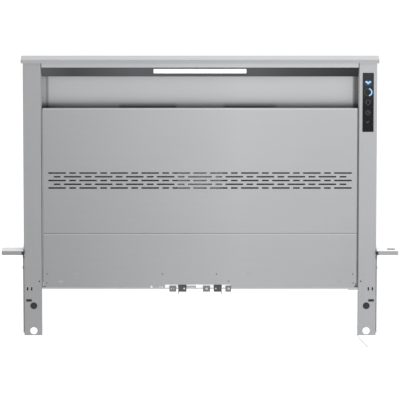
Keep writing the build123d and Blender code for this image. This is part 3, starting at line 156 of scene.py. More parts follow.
class NodeBoard(NodeTree):
    """Nodes of one finish: a Principled shader, and patterns on Object coordinates."""

    def __init__(self, name: str) -> None:
        """Starts a material with a shader that nothing is laid on yet.

        Args:
            name: Name of the material.
        """
        self.material = bpy.data.materials.new(name)
        super().__init__(self.material)
        self.place = self.add("TexCoord").outputs["Object"]
        self.shader = self.add("BsdfPrincipled")
        self.add("OutputMaterial", self.shader.outputs[0])

    def set(self, **values: Filling) -> None:
        """Fills inputs of the shader, named with underscores for spaces."""
        self.fill(self.shader, values)

    def stretched(self, stretch: Point) -> Socket:
        """Returns Object coordinates scaled by stretch."""
        return self.add("Mapping", Vector=self.place, Scale=stretch).outputs[0]

    def along(self, axis: str) -> Socket:
        """Returns the X, Y or Z of Object coordinates, in metres."""
        return self.add("SeparateXYZ", self.place).outputs[axis]

    def noise(self, vector: Socket, scale: float, detail: float = 3.0, roughness: float = 0.5) -> Socket:
        """Returns a noise pattern with scale waves per metre before any stretch, and detail octaves."""
        node = self.add("TexNoise", Vector=vector, Scale=scale, Detail=detail, Roughness=roughness)
        return node.outputs["Fac"]

    def span(self, source: Socket, low: float, high: float, start: float = 0.0, end: float = 1.0) -> Socket:
        """Maps a value from start..end to low..high, kept inside them."""
        limits = {"From_Min": start, "From_Max": end, "To_Min": low, "To_Max": high}
        return self.add("MapRange", Value=source, **limits).outputs[0]

    def usual(self, noise: Socket, low: float = 0.0, high: float = 1.0) -> Socket:
        """Maps the values that a noise mostly has to low..high."""
        return self.span(noise, low, high, *NOISE_VALUES)

    def about(self, noise: Socket, middle: float, less: float, more: float) -> Socket:
        """Returns a value that a noise moves about its middle."""
        return self.usual(noise, middle - less, middle + more)

    def across(self, half: float) -> Socket:
        """Returns the place across the vent, from 0 at half metres left to 1 at half metres right."""
        return self.span(self.along("X"), 0.0, 1.0, -half, half)

    def within(self, source: Socket, low: float, high: float) -> Socket:
        """Returns 1 where a value is between low and high, else 0."""
        over, under = self.maths("GREATER_THAN", source, low), self.maths("LESS_THAN", source, high)
        return self.maths("MULTIPLY", over, under)

    def ramp(self, source: Socket, stops: Iterable[tuple[float, Colour]]) -> Socket:
        """Colour ramp.

        Args:
            source: Value from 0 to 1.
            stops: Places and linear colours.

        Returns:
            The colour.
        """
        node = self.add("ValToRGB", source)
        elements = node.color_ramp.elements
        for number, (place, colour) in enumerate(stops):
            element = elements[number] if number < len(elements) else elements.new(place)
            element.position = place
            element.color = (*colour, 1.0)
        return node.outputs["Color"]

    def greys(self, source: Socket, stops: Iterable[Span], tint: Colour = WHITE) -> Socket:
        """Returns a ramp of levels, each times a tint."""
        return self.ramp(source, [(place, shade(tint, level)) for place, level in stops])

    def between(self, factor: Socket, colour: Colour, low: float, high: float) -> Socket:
        """Returns a colour that goes from low to high shares of itself."""
        return self.greys(factor, ((0.0, low), (1.0, high)), colour)

    def mix(self, kind: str, factor: Socket | float, first: Filling, second: Filling) -> Socket:
        """Mixes two colours.

        Args:
            kind: Kind of mixing.
            factor: Share of the second colour.
            first: First colour.
            second: Second colour.

        Returns:
            The mixed colour.
        """
        node = self.add("Mix")
        node.data_type, node.blend_type = "RGBA", kind
        self.fill(node, {0: factor, 6: first, 7: second})
        return node.outputs[2]

    def times(self, first: Filling, second: Filling) -> Socket:
        """Returns the product of two colours or values, as a colour."""
        return self.mix("MULTIPLY", 1.0, first, second)

    def choose(self, factor: Socket, first: Filling, second: Filling) -> Socket:
        """Returns the first colour where factor is 0, the second where it is 1."""
        return self.mix("MIX", factor, first, second)

    def bump(self, height: Socket, depth: float, strength: float) -> None:
        """Presses a pattern into the surface, depth metres deep."""
        self.set(Normal=self.add("Bump", Height=height, Distance=depth, Strength=strength).outputs[0])


def shade(colour: Colour, share: float) -> Colour:
    """Returns the colour times share."""
    return tuple(min(part * share, 1.0) for part in colour)


# ---- finishes ----


@dataclass(frozen=True)
class Finish:
    """What all finishes have: a name, and a way to lay themselves on a node board."""

    name: str

    def lay(self, board: NodeBoard) -> None:
        """Sets the board's shader; each kind of finish has its own way."""
        raise NotImplementedError

    @cache
    def material(self) -> bpy.types.Material:
        """Returns the finish's material, which is made when it is first asked for."""
        board = NodeBoard(self.name)
        self.lay(board)
        return board.material


@dataclass(frozen=True)
class BrushedSteel(Finish):
    """Stainless sheet with a brushed grain.

    Its tone has painted light and shade: levels at its left, near its middle and at its right, a painted shade
    from foot to head between two heights, and painted highlights in the rims, the heights of its folded edges.
    """

    colour: Colour
    grain: Grain = Grain.ACROSS
    roughness: float = 0.42
    metal: float = 0.8
    painted_light_levels: tuple[float, float, float] = (1.0, 1.0, 1.0)
    half_width: float = 0.41
    highlight_rims: Stops = ()
    highlight_gain: float = 1.25
    foot: float = 1.0
    head: float = 1.0
    heights: Span = (-0.06, 0.38)
    streaks: float = 380.0
    scratches: float = 2600.0
    places: tuple[float, float, float] = (0.0, 0.62, 1.0)

    def tone(self, board: NodeBoard) -> Socket:
        """Returns the sheet's colour: faint streaks along the grain and soft clouds, under painted light and
        shade.
        """
        broad = board.noise(board.stretched(self.grain.value), self.streaks, 3.0, 0.55)
        cloud = board.noise(board.place, 5.0, 2.0, 0.4)
        streaks = board.between(board.usual(broad), self.colour, *FAINT)
        # painted shade: the sheet's tone at its left, middle and right, as the light falls on it
        across = board.greys(board.across(self.half_width), zip(self.places, self.painted_light_levels))
        result = board.times(streaks, board.times(across, board.usual(cloud, *FAINT)))
        # painted highlights along the folded edges
        for low, high in self.highlight_rims:
            rim = board.within(board.along("Z"), low, high)
            result = board.times(result, board.span(rim, 1.0, self.highlight_gain))
        # painted shade, darker from head to foot
        if self.foot != self.head:
            result = board.times(result, board.span(board.along("Z"), self.foot, self.head, *self.heights))
        return result

    def lay(self, board: NodeBoard) -> None:
        """Lays the tone, and fine scratches in roughness and bump."""
        fine = board.noise(board.stretched(self.grain.value), self.scratches, 2.0, 0.6)
        rough = board.about(fine, self.roughness, 0.05, 0.06)
        board.set(Base_Color=self.tone(board), Roughness=rough, Metallic=self.metal)
        board.bump(fine, 0.00001, 0.15)


@dataclass(frozen=True)
class DuctSteel(BrushedSteel):
    """Brushed sheet of the air duct, in shadow on its inner face at its sides and near the throat.

    The throat's shadow has levels across the duct, and fades out above and, within faded, below its end.
    """

    inner_face: float = 0.0446
    shadow_end: float = 0.3605
    faded: float = 0.003
    shadow_low: float = 0.364
    shadow_high: float = 0.379
    throat: Stops = (
        (0.0, 0.11), (0.07, 0.4), (0.24, 0.4), (0.25, 0.11), (0.42, 0.11),
        (0.43, 0.4), (0.57, 0.4), (0.58, 0.11), (0.73, 0.11), (0.75, 0.4),
    )
    sides: Stops = (
        (0.0, 0.84), (0.014, 0.8), (0.0155, 0.5), (0.019, 0.5), (0.022, 1.0),
        (0.982, 1.0), (0.985, 0.4), (0.99, 0.26), (1.0, 0.34),
    )

    def tone(self, board: NodeBoard) -> Socket:
        """Returns the sheet's colour, darkened at the throat, most of all over the filters."""
        level, place = board.along("Z"), board.across(DUCT_HALF)
        below = board.span(level, 1.0, 0.0, self.shadow_end - self.faded, self.shadow_end)
        above = board.span(level, 0.0, 1.0, self.shadow_low, self.shadow_high)
        light = board.maths("MAXIMUM", above, below)
        shadow = board.choose(light, board.greys(place, self.throat), PLAIN)
        inner = board.times(shadow, board.greys(place, self.sides))
        outer = board.maths("GREATER_THAN", board.along("Y"), self.inner_face)
        return board.times(super().tone(board), board.choose(outer, inner, PLAIN))


@dataclass(frozen=True)
class ShadedSteel(Finish):
    """Dark steel of the lamp housing under its plain header, with painted reflections in soft fields along it.
    """

    header: BrushedSteel
    header_level: float
    roughness: float = 0.36
    metal: float = 0.75
    # bluish tint of the painted reflections
    tint: Colour = (1.0, 1.02, 1.08)
    streaks: float = 900.0
    painted_reflections: Stops = ((0.0, 0.09), (0.1, 0.058), (0.3, 0.1), (0.68, 0.092), (0.8, 0.06), (1.0, 0.026))

    def lay(self, board: NodeBoard) -> None:
        """Lays the header's tone over its level, and the dark steel with its painted reflections under it."""
        # dark tone of the housing with painted reflections in lighter and darker fields along it
        painted_reflections = board.greys(board.across(DUCT_HALF), self.painted_reflections, self.tint)
        grain = board.noise(board.stretched(Grain.ACROSS.value), self.streaks, 3.0, 0.6)
        dark_with_reflections = board.times(painted_reflections, board.usual(grain, 0.95, 1.04))
        upper = board.maths("GREATER_THAN", board.along("Z"), self.header_level)
        tone = board.choose(upper, dark_with_reflections, self.header.tone(board))
        rough = board.about(grain, self.roughness, 0.05, 0.08)
        board.set(Base_Color=tone, Roughness=rough, Metallic=self.metal)
        board.bump(grain, 0.00001, 0.2)


@dataclass(frozen=True)
class Galvanised(Finish):
    """Zinc coated sheet with its spangle."""

    colour: Colour
    spangle: float
    roughness: float
    metal: float = 0.75
    crystals: Span = (0.86, 1.08)
    bloom: Span = (0.9, 1.06)
    spread: float = 0.09

    def lay(self, board: NodeBoard) -> None:
        """Lays crystals that differ in tone and gloss, with a faint cloudy bloom."""
        crystals = board.add("TexVoronoi", Vector=board.place, Scale=self.spangle)
        tones, glosses, _ = board.add("SeparateColor", crystals.outputs["Color"]).outputs
        bloom = board.usual(board.noise(board.place, 14.0, 4.0, 0.6), *self.bloom)
        rough = board.span(glosses, self.roughness - self.spread, self.roughness + self.spread)
        tone = board.times(board.between(tones, self.colour, *self.crystals), bloom)
        board.set(Base_Color=tone, Roughness=rough, Metallic=self.metal)
        board.bump(board.noise(board.place, 900.0, 2.0), 0.00002, 0.3)


@dataclass(frozen=True)
class BareMetal(Finish):
    """Turned, ground, cast or rolled metal, with fine marks along its grain."""

    colour: Colour
    grain: Grain = Grain.ACROSS
    roughness: float = 0.32
    metal: float = 0.95
    marks: float = 1500.0
    spread: float = 0.1
    stain: Span = (0.92, 1.04)

    def tint(self, board: NodeBoard, tone: Socket) -> Socket:
        """Returns the tone as it is; finishes with shading of their own change it."""
        return tone

    def lay(self, board: NodeBoard) -> None:
        """Lays the marks in tone, gloss and bump, under faint stains."""
        marks = board.noise(board.stretched(self.grain.value), self.marks, 3.0, 0.6)
        stain = board.usual(board.noise(board.place, 22.0), *self.stain)
        tone = board.between(board.usual(marks), self.colour, 1 - self.spread, 1 + self.spread / 2)
        rough = board.about(marks, self.roughness, 0.06, 0.1)
        board.set(Base_Color=self.tint(board, board.times(tone, stain)), Roughness=rough, Metallic=self.metal)
        board.bump(marks, 0.00002, 0.4)


@dataclass(frozen=True)
class FilterMesh(BareMetal):
    """Aluminium mesh of the grease filters with painted shade, at a share of its tone up to low and in full
    over high.
    """

    low: float = 0.16
    high: float = 0.206
    share: float = 0.22

    def tint(self, board: NodeBoard, tone: Socket) -> Socket:
        """Returns the tone with painted shade, darker towards the lower slots."""
        # painted shade inside the vent, deeper towards the bottom
        return board.times(tone, board.span(board.along("Z"), self.share, 1.0, self.low, self.high))


@dataclass(frozen=True)
class Moulded(Finish):
    """Moulded nylon, rubber or foam, or painted metal: a fine skin over a soft tone."""

    colour: Colour
    roughness: float = 0.5
    skin: float = 1800.0
    depth: float = 0.00004
    spread: float = 0.12
    gloss: float = 0.5
    sheen: Span = (0.94, 1.05)

    def lay(self, board: NodeBoard) -> None:
        """Lays a tone that flows a little, and the skin in tone and bump."""
        skin = board.noise(board.place, self.skin, 3.0, 0.6)
        flow = board.noise(board.place, 28.0)
        tone = board.between(board.usual(flow), self.colour, 1 - self.spread, 1 + self.spread)
        board.set(
            Base_Color=board.times(tone, board.usual(skin, *self.sheen)),
            Roughness=board.about(flow, self.roughness, 0.07, 0.07),
            Specular_IOR_Level=self.gloss,
        )
        board.bump(skin, self.depth, 0.6)


@dataclass(frozen=True)
class BlackGlass(Finish):
    """Black touch glass, a little greyer to its top, with faint wipe marks in its gloss."""

    low: Colour
    high: Colour
    top: float
    bottom: float
    gloss: float = 0.12
    wiped: Span = (0.22, 0.34)

    def lay(self, board: NodeBoard) -> None:
        """Lays the tone from bottom to top, and the wipe marks."""
        height = board.span(board.along("Z"), 0.0, 1.0, self.bottom, self.top)
        stops = ((0.0, self.low), (0.45, self.low), (0.75, shade(self.high, 0.8)), (1.0, self.high))
        wipes = board.usual(board.noise(board.stretched((1.0, 1.0, 0.35)), 60.0, 4.0, 0.6), *self.wiped)
        board.set(Base_Color=board.ramp(height, stops), Roughness=wipes, Specular_IOR_Level=self.gloss)


@dataclass(frozen=True)
class LitPlastic(Finish):
    """Opal or tinted plastic with light behind it, a touch brighter over each diode; in the notch strips a
    painted glow.

    Outside its window, from low to high, it is an unlit dark rim.
    """

    colour: Colour
    strength: float
    pitch: float = 0.0125
    low: float = -9.0
    high: float = 9.0
    half_length: float = 9.0
    body: float = 1.0
    rim: Colour = (0.03, 0.03, 0.032)

    def lay(self, board: NodeBoard) -> None:
        """Lays the lit window and its rim."""
        diodes = board.add("TexWave", board.place, WAVE_WIDTH / self.pitch)
        glow = board.between(diodes.outputs["Fac"], self.colour, 0.93, 1.0)
        near = board.maths("LESS_THAN", board.maths("ABSOLUTE", board.along("X")), self.half_length)
        window = board.maths("MULTIPLY", board.within(board.along("Z"), self.low, self.high), near)
        glow = board.times(glow, board.ramp(window, ((0.0, self.rim), (1.0, WHITE))))
        body = board.times(glow, (self.body,) * 3 + (1.0,))
        board.set(Emission_Color=glow, Base_Color=body, Emission_Strength=self.strength, Roughness=0.4)


@dataclass(frozen=True)
class PrintedBoard(Finish):
    """Circuit board: solder mask over tracks, with tinned pads, as shares of the mask's tone."""

    colour: Colour
    shares: tuple[float, float, float] = (1.0, 1.25, 1.9)
    scale: float = 160.0
    gap: float = 0.06

    def lay(self, board: NodeBoard) -> None:
        """Lays the tracks in tone and bump."""
        mask, track, pad = ((*shade(self.colour, share), 1.0) for share in self.shares)
        place = board.stretched((1.0, 1.0, 0.6))
        tracks = board.add("TexBrick", place, mask, track, pad, self.scale, self.gap)
        rough = board.span(board.noise(board.place, 200.0), 0.25, 0.4)
        board.set(Base_Color=tracks.outputs["Color"], Roughness=rough)
        board.bump(tracks.outputs["Fac"], 0.00004, 0.5)


STEEL: Colour = (0.445, 0.448, 0.456)
BENT_STEEL: Colour = (0.44, 0.443, 0.45)
BOX_PAINTED_LIGHT = (0.87, 1.0, 0.94)  # painted light and shade of sheets in the chimney at their left, middle and right
EDGE_PAINTED_LIGHT = (0.72, 0.87, 0.86)  # the same of the posts and brackets


class Look:
    """All finishes of the vent."""

    # painted shade at its left and towards its foot, painted highlights on its folded edges
    panel = BrushedSteel(
        "steel_panel", STEEL, painted_light_levels=(0.74, 0.99, 0.9), foot=0.9, head=1.02,
        highlight_rims=((0.0403, 0.0431), (0.3668, 0.3702)),
    )
    # painted shade at its left and towards its foot
    post = BrushedSteel(
        "steel_post", STEEL, Grain.UPRIGHT, painted_light_levels=EDGE_PAINTED_LIGHT, half_width=0.46, foot=0.97, head=1.06
    )
    # painted shade across it, a painted highlight on its folded edge
    cap = BrushedSteel(
        "steel_cap", BENT_STEEL, Grain.ACROSS, 0.62, 0.5, (0.96, 1.0, 0.99), 0.46, ((0.4966, 0.499),), 1.24
    )
    # painted shade at its left, painted highlights on the ears' edges
    bracket = BrushedSteel(
        "steel_bracket", BENT_STEEL, Grain.ACROSS, 0.55, 0.55, EDGE_PAINTED_LIGHT, 0.46, ((-0.0007, 0.001),), 2.3
    )
    # painted shade at its left and right, besides the duct's painted shadow
    duct = DuctSteel("steel_duct", (0.48, 0.484, 0.492), Grain.ACROSS, 0.4, 0.8, BOX_PAINTED_LIGHT)
    bright = BrushedSteel("steel_bright", (0.48, 0.483, 0.49), Grain.UPRIGHT, 0.42, 0.75)
    # dark steel of the bottom clips, also on the right panel rail as painted shade in its seam
    clip_and_shade = BrushedSteel("steel_clip_and_painted_shade", (0.2, 0.202, 0.206), Grain.ACROSS, 0.45, 0.75)
    # painted light levels on the header, painted reflections on the housing below it
    hood = ShadedSteel(
        "steel_lamp_housing", BrushedSteel("steel_header", (0.5, 0.503, 0.51), painted_light_levels=BOX_PAINTED_LIGHT), 0.4757
    )
    galvanised = Galvanised("galvanised_sheet", (0.42, 0.432, 0.445), 70.0, 0.54)
    scroll = Galvanised("galvanised_scroll", (0.42, 0.43, 0.442), 120.0, 0.58)
    dark = BareMetal("steel_filter_frame", (0.1, 0.102, 0.106), Grain.ACROSS, 0.45, 0.6)
    divider = BareMetal("steel_divider", (0.36, 0.363, 0.37), Grain.UPRIGHT, 0.42, 0.7)
    plated = BareMetal("zinc_box", (0.42, 0.425, 0.43), Grain.ACROSS, 0.44, 0.75, 500.0, 0.06)
    # tone darkened as painted shade inside the vent
    filter = FilterMesh("filter_aluminium", (0.15, 0.152, 0.156), Grain.UPRIGHT, 0.5, 0.4, 700.0, 0.2)
    zinc = BareMetal("zinc_plate", (0.5, 0.5, 0.49), Grain.UPRIGHT, 0.35, 0.9, 900.0)
    rivet = BareMetal("rivet_steel", (0.13, 0.13, 0.135), Grain.UPRIGHT, 0.42, 0.6, 900.0)
    aluminium = BareMetal("extruded_aluminium", (0.6, 0.61, 0.62), Grain.UPRIGHT, 0.38, 0.9)
    casting = BareMetal("cast_aluminium", (0.5, 0.505, 0.51), Grain.ACROSS, 0.5, 0.85, 400.0, 0.16)
    shaft = BareMetal("ground_shaft", (0.55, 0.55, 0.56), Grain.DEEP, 0.24, 1.0, 1200.0)
    brass = BareMetal("sintered_brass", (0.62, 0.45, 0.2), Grain.DEEP, 0.38, 0.95, 900.0, 0.14)
    magnet = BareMetal("nickel_magnet", (0.4, 0.4, 0.41), Grain.UPRIGHT, 0.3, 0.9, 500.0)
    mark = BareMetal("weld_mark", (0.37, 0.372, 0.38), Grain.ACROSS, 0.46, 0.8, 700.0, 0.04)
    hole = Moulded("shadow_black", (0.012, 0.012, 0.013), 0.8, gloss=0.1)
    rack = Moulded("rack_nylon", (0.74, 0.72, 0.67), 0.45, 1400.0)
    nylon = Moulded("black_nylon", (0.022, 0.022, 0.024), 0.48)
    impeller = Moulded("impeller_nylon", (0.03, 0.031, 0.034), 0.42, 1200.0)
    stop = Moulded("stop_rubber", (0.085, 0.086, 0.09), 0.7, 900.0, 0.00006)
    plug = Moulded("plug_rubber", (0.03, 0.031, 0.033), 0.62, 900.0, 0.00006, gloss=0.3)
    foam = Moulded("seal_foam", (0.05, 0.05, 0.053), 0.9, 520.0, 0.0005, 0.2, 0.2)
    paint = Moulded("motor_paint", (0.03, 0.031, 0.034), 0.38, 700.0, 0.00008, 0.1)
    grey = Moulded("damper_plastic", (0.2, 0.205, 0.21))
    white = Moulded("white_nylon", (0.8, 0.8, 0.79))
    dim = Moulded("symbol_dim", (0.075, 0.075, 0.078))
    board = PrintedBoard("circuit_board", (0.02, 0.12, 0.05))
    lamp = LitPlastic("lamp_opal", (1.0, 1.0, 0.99), 1.25, low=0.4595, high=0.4711, half_length=0.1178)
    # glow of the notch strips: painted light, with no lamp behind them
    seal = LitPlastic("notch_painted_glow", (0.92, 0.92, 0.92), 0.8)
    blue = LitPlastic("symbol_blue", (0.004, 0.032, 0.1), 1.0, body=0.1)
    pale = LitPlastic("symbol_pale", (0.34, 0.68, 1.0), 1.0, body=0.1)


# ---- modelling bench ----


class Blank:
    """A piece in the making: a primitive whose place is in its mesh, shaped in edit mode."""

    def __init__(self, adder: Callable[..., set[str]], **settings: object) -> None:
        """Adds a primitive with nothing else selected, and applies its place.

        Args:
            adder: Operator that adds the primitive.
            settings: The operator's settings.
        """
        self.rest()
        bpy.ops.object.select_all(action="DESELECT")
        adder(**settings)
        self.item = bpy.context.object
        bpy.ops.object.transform_apply(location=True, rotation=True, scale=True)

    @classmethod
    def round(cls, place: Point, radius: float, length: float, axis: Axis, sides: int = 24) -> "Blank":
        """A cylinder in millimetres, its middle at place."""
        return cls(
            bpy.ops.mesh.primitive_cylinder_add, vertices=sides, radius=radius * MM, depth=length * MM,
            location=Vector(place) * MM, rotation=axis.value,
        )

    @classmethod
    def block(cls, low: Point, high: Point) -> "Blank":
        """A block in millimetres, from its lowest to its highest corner."""
        lowest, highest = Vector(low) * MM, Vector(high) * MM
        middle = (lowest + highest) / 2
        return cls(bpy.ops.mesh.primitive_cube_add, size=1.0, location=middle, scale=highest - lowest)

    def rest(self) -> None:
        """Goes back to object mode."""
        if bpy.context.mode != "OBJECT":
            bpy.ops.object.mode_set(mode="OBJECT")

    def hold(self, *others: bpy.types.Object) -> None:
        """Selects the piece and the others alone in object mode, with the piece active."""
        self.rest()
        bpy.ops.object.select_all(action="DESELECT")
        for item in (*others, self.item):
            item.select_set(True)
        bpy.context.view_layer.objects.active = self.item

    def pick(self, test: Callable[[Vector], bool]) -> "Blank":
        """Selects faces.

        Args:
            test: Takes a face's normal, and says whether it is picked.

        Returns:
            The blank, in edit mode.
        """
        self.hold()
        bpy.context.tool_settings.mesh_select_mode = (False, False, True)
        mesh = self.item.data
        for group in (mesh.vertices, mesh.edges, mesh.polygons):
            for part in group:
                part.select = False
        for face in mesh.polygons:
            face.select = bool(test(face.normal))
        bpy.ops.object.mode_set(mode="EDIT")
        return self

    def facing(self, way: Point) -> "Blank":
        """Selects the faces that point along way."""
        aim = Vector(way)
        return self.pick(lambda normal: normal.dot(aim) > 0.9)

    def inset(self, width: float, depth: float = 0.0) -> "Blank":
        """Insets the picked faces by width, depth outwards, in millimetres."""
        bpy.ops.mesh.inset(thickness=width * MM, depth=depth * MM, use_even_offset=True)
        return self

    def extrude(self, by: Point) -> "Blank":
        """Extrudes the picked faces by a step in millimetres."""
        bpy.ops.mesh.extrude_region_move(TRANSFORM_OT_translate={"value": Vector(by) * MM})
        return self

    def resize(self, value: Point, centre: Point) -> "Blank":
        """Scales the whole piece about a centre in millimetres."""
        self.pick(lambda normal: True)
        bpy.ops.transform.resize(value=value, center_override=Vector(centre) * MM)
        return self

    def smooth(self, degrees: float) -> "Blank":
        """Shades the piece smooth, apart from edges sharper than degrees."""
        self.hold()
        bpy.ops.object.shade_smooth_by_angle(angle=math.radians(degrees))
        return self

    def placed(self, moves: Iterable[Matrix]) -> "Blank":
        """Puts joined copies of the piece in its place.

        Args:
            moves: A move for each copy. The piece itself isn't kept.

        Returns:
            The blank that holds all the copies.
        """
        self.rest()
        made = []
        for move in moves:
            copy = self.item.copy()
            copy.data = self.item.data.copy()
            copy.data.transform(move)
            bpy.context.scene.collection.objects.link(copy)
            made.append(copy)
        bpy.data.objects.remove(self.item)
        self.item = made[0]
        if len(made) > 1:
            self.hold(*made)
            bpy.ops.object.join()
        return self

    def copies(self, across: Places, back: Places = (0.0,), up: Places = (0.0,)) -> "Blank":
        """Repeats the piece at all these steps along X, Y and Z from its place, in millimetres."""
        steps = [Vector((x, y, z)) * MM for z in up for x in across for y in back]
        return self.placed([Matrix.Translation(step) for step in steps])

    def turned(self, angles: Iterable[float], centre: Point, axis: str) -> "Blank":
        """Repeats the piece about an axis through a centre.

        Args:
            angles: Angles of the copies, in degrees.
            centre: Place of the axis, in millimetres.
            axis: X, Y or Z.

        Returns:
            The blank that holds all the copies.
        """
        middle = Vector(centre) * MM
        away, home = Matrix.Translation(middle), Matrix.Translation(-middle)
        return self.placed([away @ Matrix.Rotation(math.radians(angle), 4, axis) @ home for angle in angles])

    def join(self, *others: "Blank") -> "Blank":
        """Joins other blanks into this one."""
        self.hold(*(other.item for other in others))
        bpy.ops.object.join()
        return self

    def done(self, name: str, body: Body, slot: str, finish: Finish) -> None:
        """Names and dresses the piece and sets it on its body.

        Args:
            name: Name of the piece.
            body: Body that it rides on.
            slot: The record's material slot; not used.
            finish: Its finish.
        """
        self.rest()
        self.item.name = self.item.data.name = name
        self.item.data.materials.clear()
        self.item.data.materials.append(finish.material())
        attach(self.item, body.value)
        LOG.info("piece %s rides on %s", name, body.value)


def dress(looks: dict[Finish, str]) -> None:
    """Gives CAD nodes their finishes.

    Args:
        looks: Names of the nodes that wear each finish, with spaces between them.
    """
    for finish, nodes in looks.items():
        for name in nodes.split():
            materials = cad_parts[name].data.materials
            materials.clear()
            materials.append(finish.material())
            LOG.info("node %s is dressed in %s", name, finish.name)


def corners(node: str) -> tuple[Point, Point, Point]:
    """Returns the lowest and highest corner and the middle of a CAD node's box, in millimetres."""
    low, high = (tuple(corner / MM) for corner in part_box(node))
    return low, high, tuple((near + far) / 2 for near, far in zip(low, high))


def dome(place: Point, radius: float, height: float, way: Point, sides: int = 12) -> Blank:
    """A low dome, such as a rivet's head.

    Args:
        place: Middle of its foot, in millimetres.
        radius: Radius of its foot.
        height: Height of the dome.
        way: Way that it points.
        sides: Sides round it.

    Returns:
        The blank.
    """
    middle = Vector(place) + Vector(way) * (height / 4)
    head = Blank.round(tuple(middle), radius, height / 2, Axis.Z if way == UP else Axis.Y, sides)
    return head.facing(way).inset(radius * 0.22, height * 0.3).inset(radius * 0.38, height * 0.2).smooth(60.0)


def screws(place: Point, radius: float, height: float, across: float, up: float) -> Blank:
    """Four pan heads with sockets, which point back, at the corners of a plate.

    Args:
        place: Middle of the first head's foot, in millimetres.
        radius: Radius of a head.
        height: Its height.
        across: Step along X to the next corner.
        up: Step along Z to the next corner.

    Returns:
        The blank.
    """
    head = Blank.round((place[0], place[1] + height / 2, place[2]), radius, height, Axis.Y, 18)
    head.facing(BACK).inset(radius * 0.16, height * 0.14).inset(radius * 0.38)
    head.extrude((0.0, -0.55 * height, 0.0)).smooth(40.0)
    return head.copies((0.0, across), up=(0.0, up))


# ---- sub-assemblies ----


@dataclass
class TouchControl:
    """Lit and unlit symbols on the touch glass: fan, speed ring, lamp, timer and lift."""

    middle: float = 429.0
    face: float = -0.4
    fan_level: float = 437.6
    ring_level: float = 411.8
    lamp_level: float = 384.6
    timer_level: float = 358.8
    lift_level: float = 333.8
    rise: float = 0.12
    glow_layer: Span = (0.03, 0.06)
    fan_layer: Span = (0.1, 0.14)
    lobe_out: float = 3.7
    lobe_turn: float = -24.0
    arc_step: float = 12.0
    step_half: float = 0.11
    wing_turns: Span = (-38.0, -142.0)

    def ring(self, level: float, radius: float, width: float, start: float, sweep: float, rise: float) -> Blank:
        """A flat arc on the glass.

        Args:
            level: Height of its middle.
            radius: Its middle radius.
            width: Width of its line.
            start: Angle where it starts, in degrees from +X towards +Z.
            sweep: Angle that it covers.
            rise: How far it stands out of the glass.

        Returns:
            The blank.
        """
        steps = max(4, round(sweep / self.arc_step))
        pitch = sweep / steps
        near = self.middle + radius - width / 2
        half = radius * self.step_half
        blade = Blank.block((near, self.face - rise, level - half), (near + width, self.face, level + half))
        angles = [-(start + pitch * (number + 0.5)) for number in range(steps)]
        return blade.turned(angles, (self.middle, self.face - rise / 2, level), "Y")

    def bar(self, left: float, right: float, low: float, high: float) -> Blank:
        """A flat bar on the glass, from left to right of the middle and from low to high."""
        x, front = self.middle, self.face - self.rise
        return Blank.block((x + left, front, low), (x + right, self.face, high))

    def spot(self, across: float, level: float, radius: float, squash: float, layer: Span, sides: int) -> Blank:
        """A flat ellipse on the glass, in a layer that is given as how far it stands out and its thickness."""
        disc = Blank.round((self.middle + across, self.face - layer[0], level), radius, layer[1], Axis.Y, sides)
        return disc.resize((1.0, 1.0, squash), (self.middle + across, 0.0, level))

    def build(self) -> None:
        """Makes the symbols from the top down, over their blue glow."""
        x, rise = self.middle, self.rise
        glow = self.spot(0.0, self.fan_level - 1.8, 9.4, 0.8, self.glow_layer, 28)
        glow.join(self.ring(self.ring_level, 8.9, 6.4, -80.0, 160.0, 0.05))
        glow.done("symbol_glow", Body.CHIMNEY, "lamp_white", Look.blue)
        lobes = []
        for side in (-1.0, 1.0):
            out, level = side * self.lobe_out, self.fan_level + 0.4
            lobe = self.spot(out, level, 4.0, 0.6, self.fan_layer, 20)
            lobes.append(lobe.turned([side * self.lobe_turn], (x + out, 0.0, level), "Y"))
        hub = self.spot(0.0, self.fan_level - 2.2, 2.9, 1.0, self.fan_layer, 16)
        hub.join(*lobes).done("symbol_fan", Body.CHIMNEY, "lamp_white", Look.pale)
        speed = self.ring(self.ring_level, 9.2, 2.9, -76.0, 152.0, rise)
        speed.done("symbol_speed", Body.CHIMNEY, "lamp_white", Look.pale)
        rest = self.ring(self.ring_level, 9.2, 1.0, 94.0, 172.0, rise)
        level = self.lamp_level
        bulb = self.ring(level + 1.0, 5.4, 1.5, -50.0, 280.0, rise)
        bulb.join(self.bar(-2.8, 2.8, level - 6.2, level - 4.5))
        level = self.timer_level
        clock = self.ring(level, 5.6, 1.3, 0.0, 360.0, rise)
        clock.join(self.bar(-0.7, 0.7, level - 0.4, level + 3.9), self.bar(-0.7, 3.4, level - 0.7, level + 0.7))
        level = self.lift_level
        wings = self.bar(-0.6, 5.0, level - 0.8, level + 0.8)
        wings.turned(self.wing_turns, (x, self.face, level - 1.0), "Y")
        for name, unlit in (("speed_rest", rest), ("lamp", bulb), ("timer", clock), ("lift", wings)):
            unlit.done(f"symbol_{name}", Body.CHIMNEY, "grey_plastic", Look.dim)


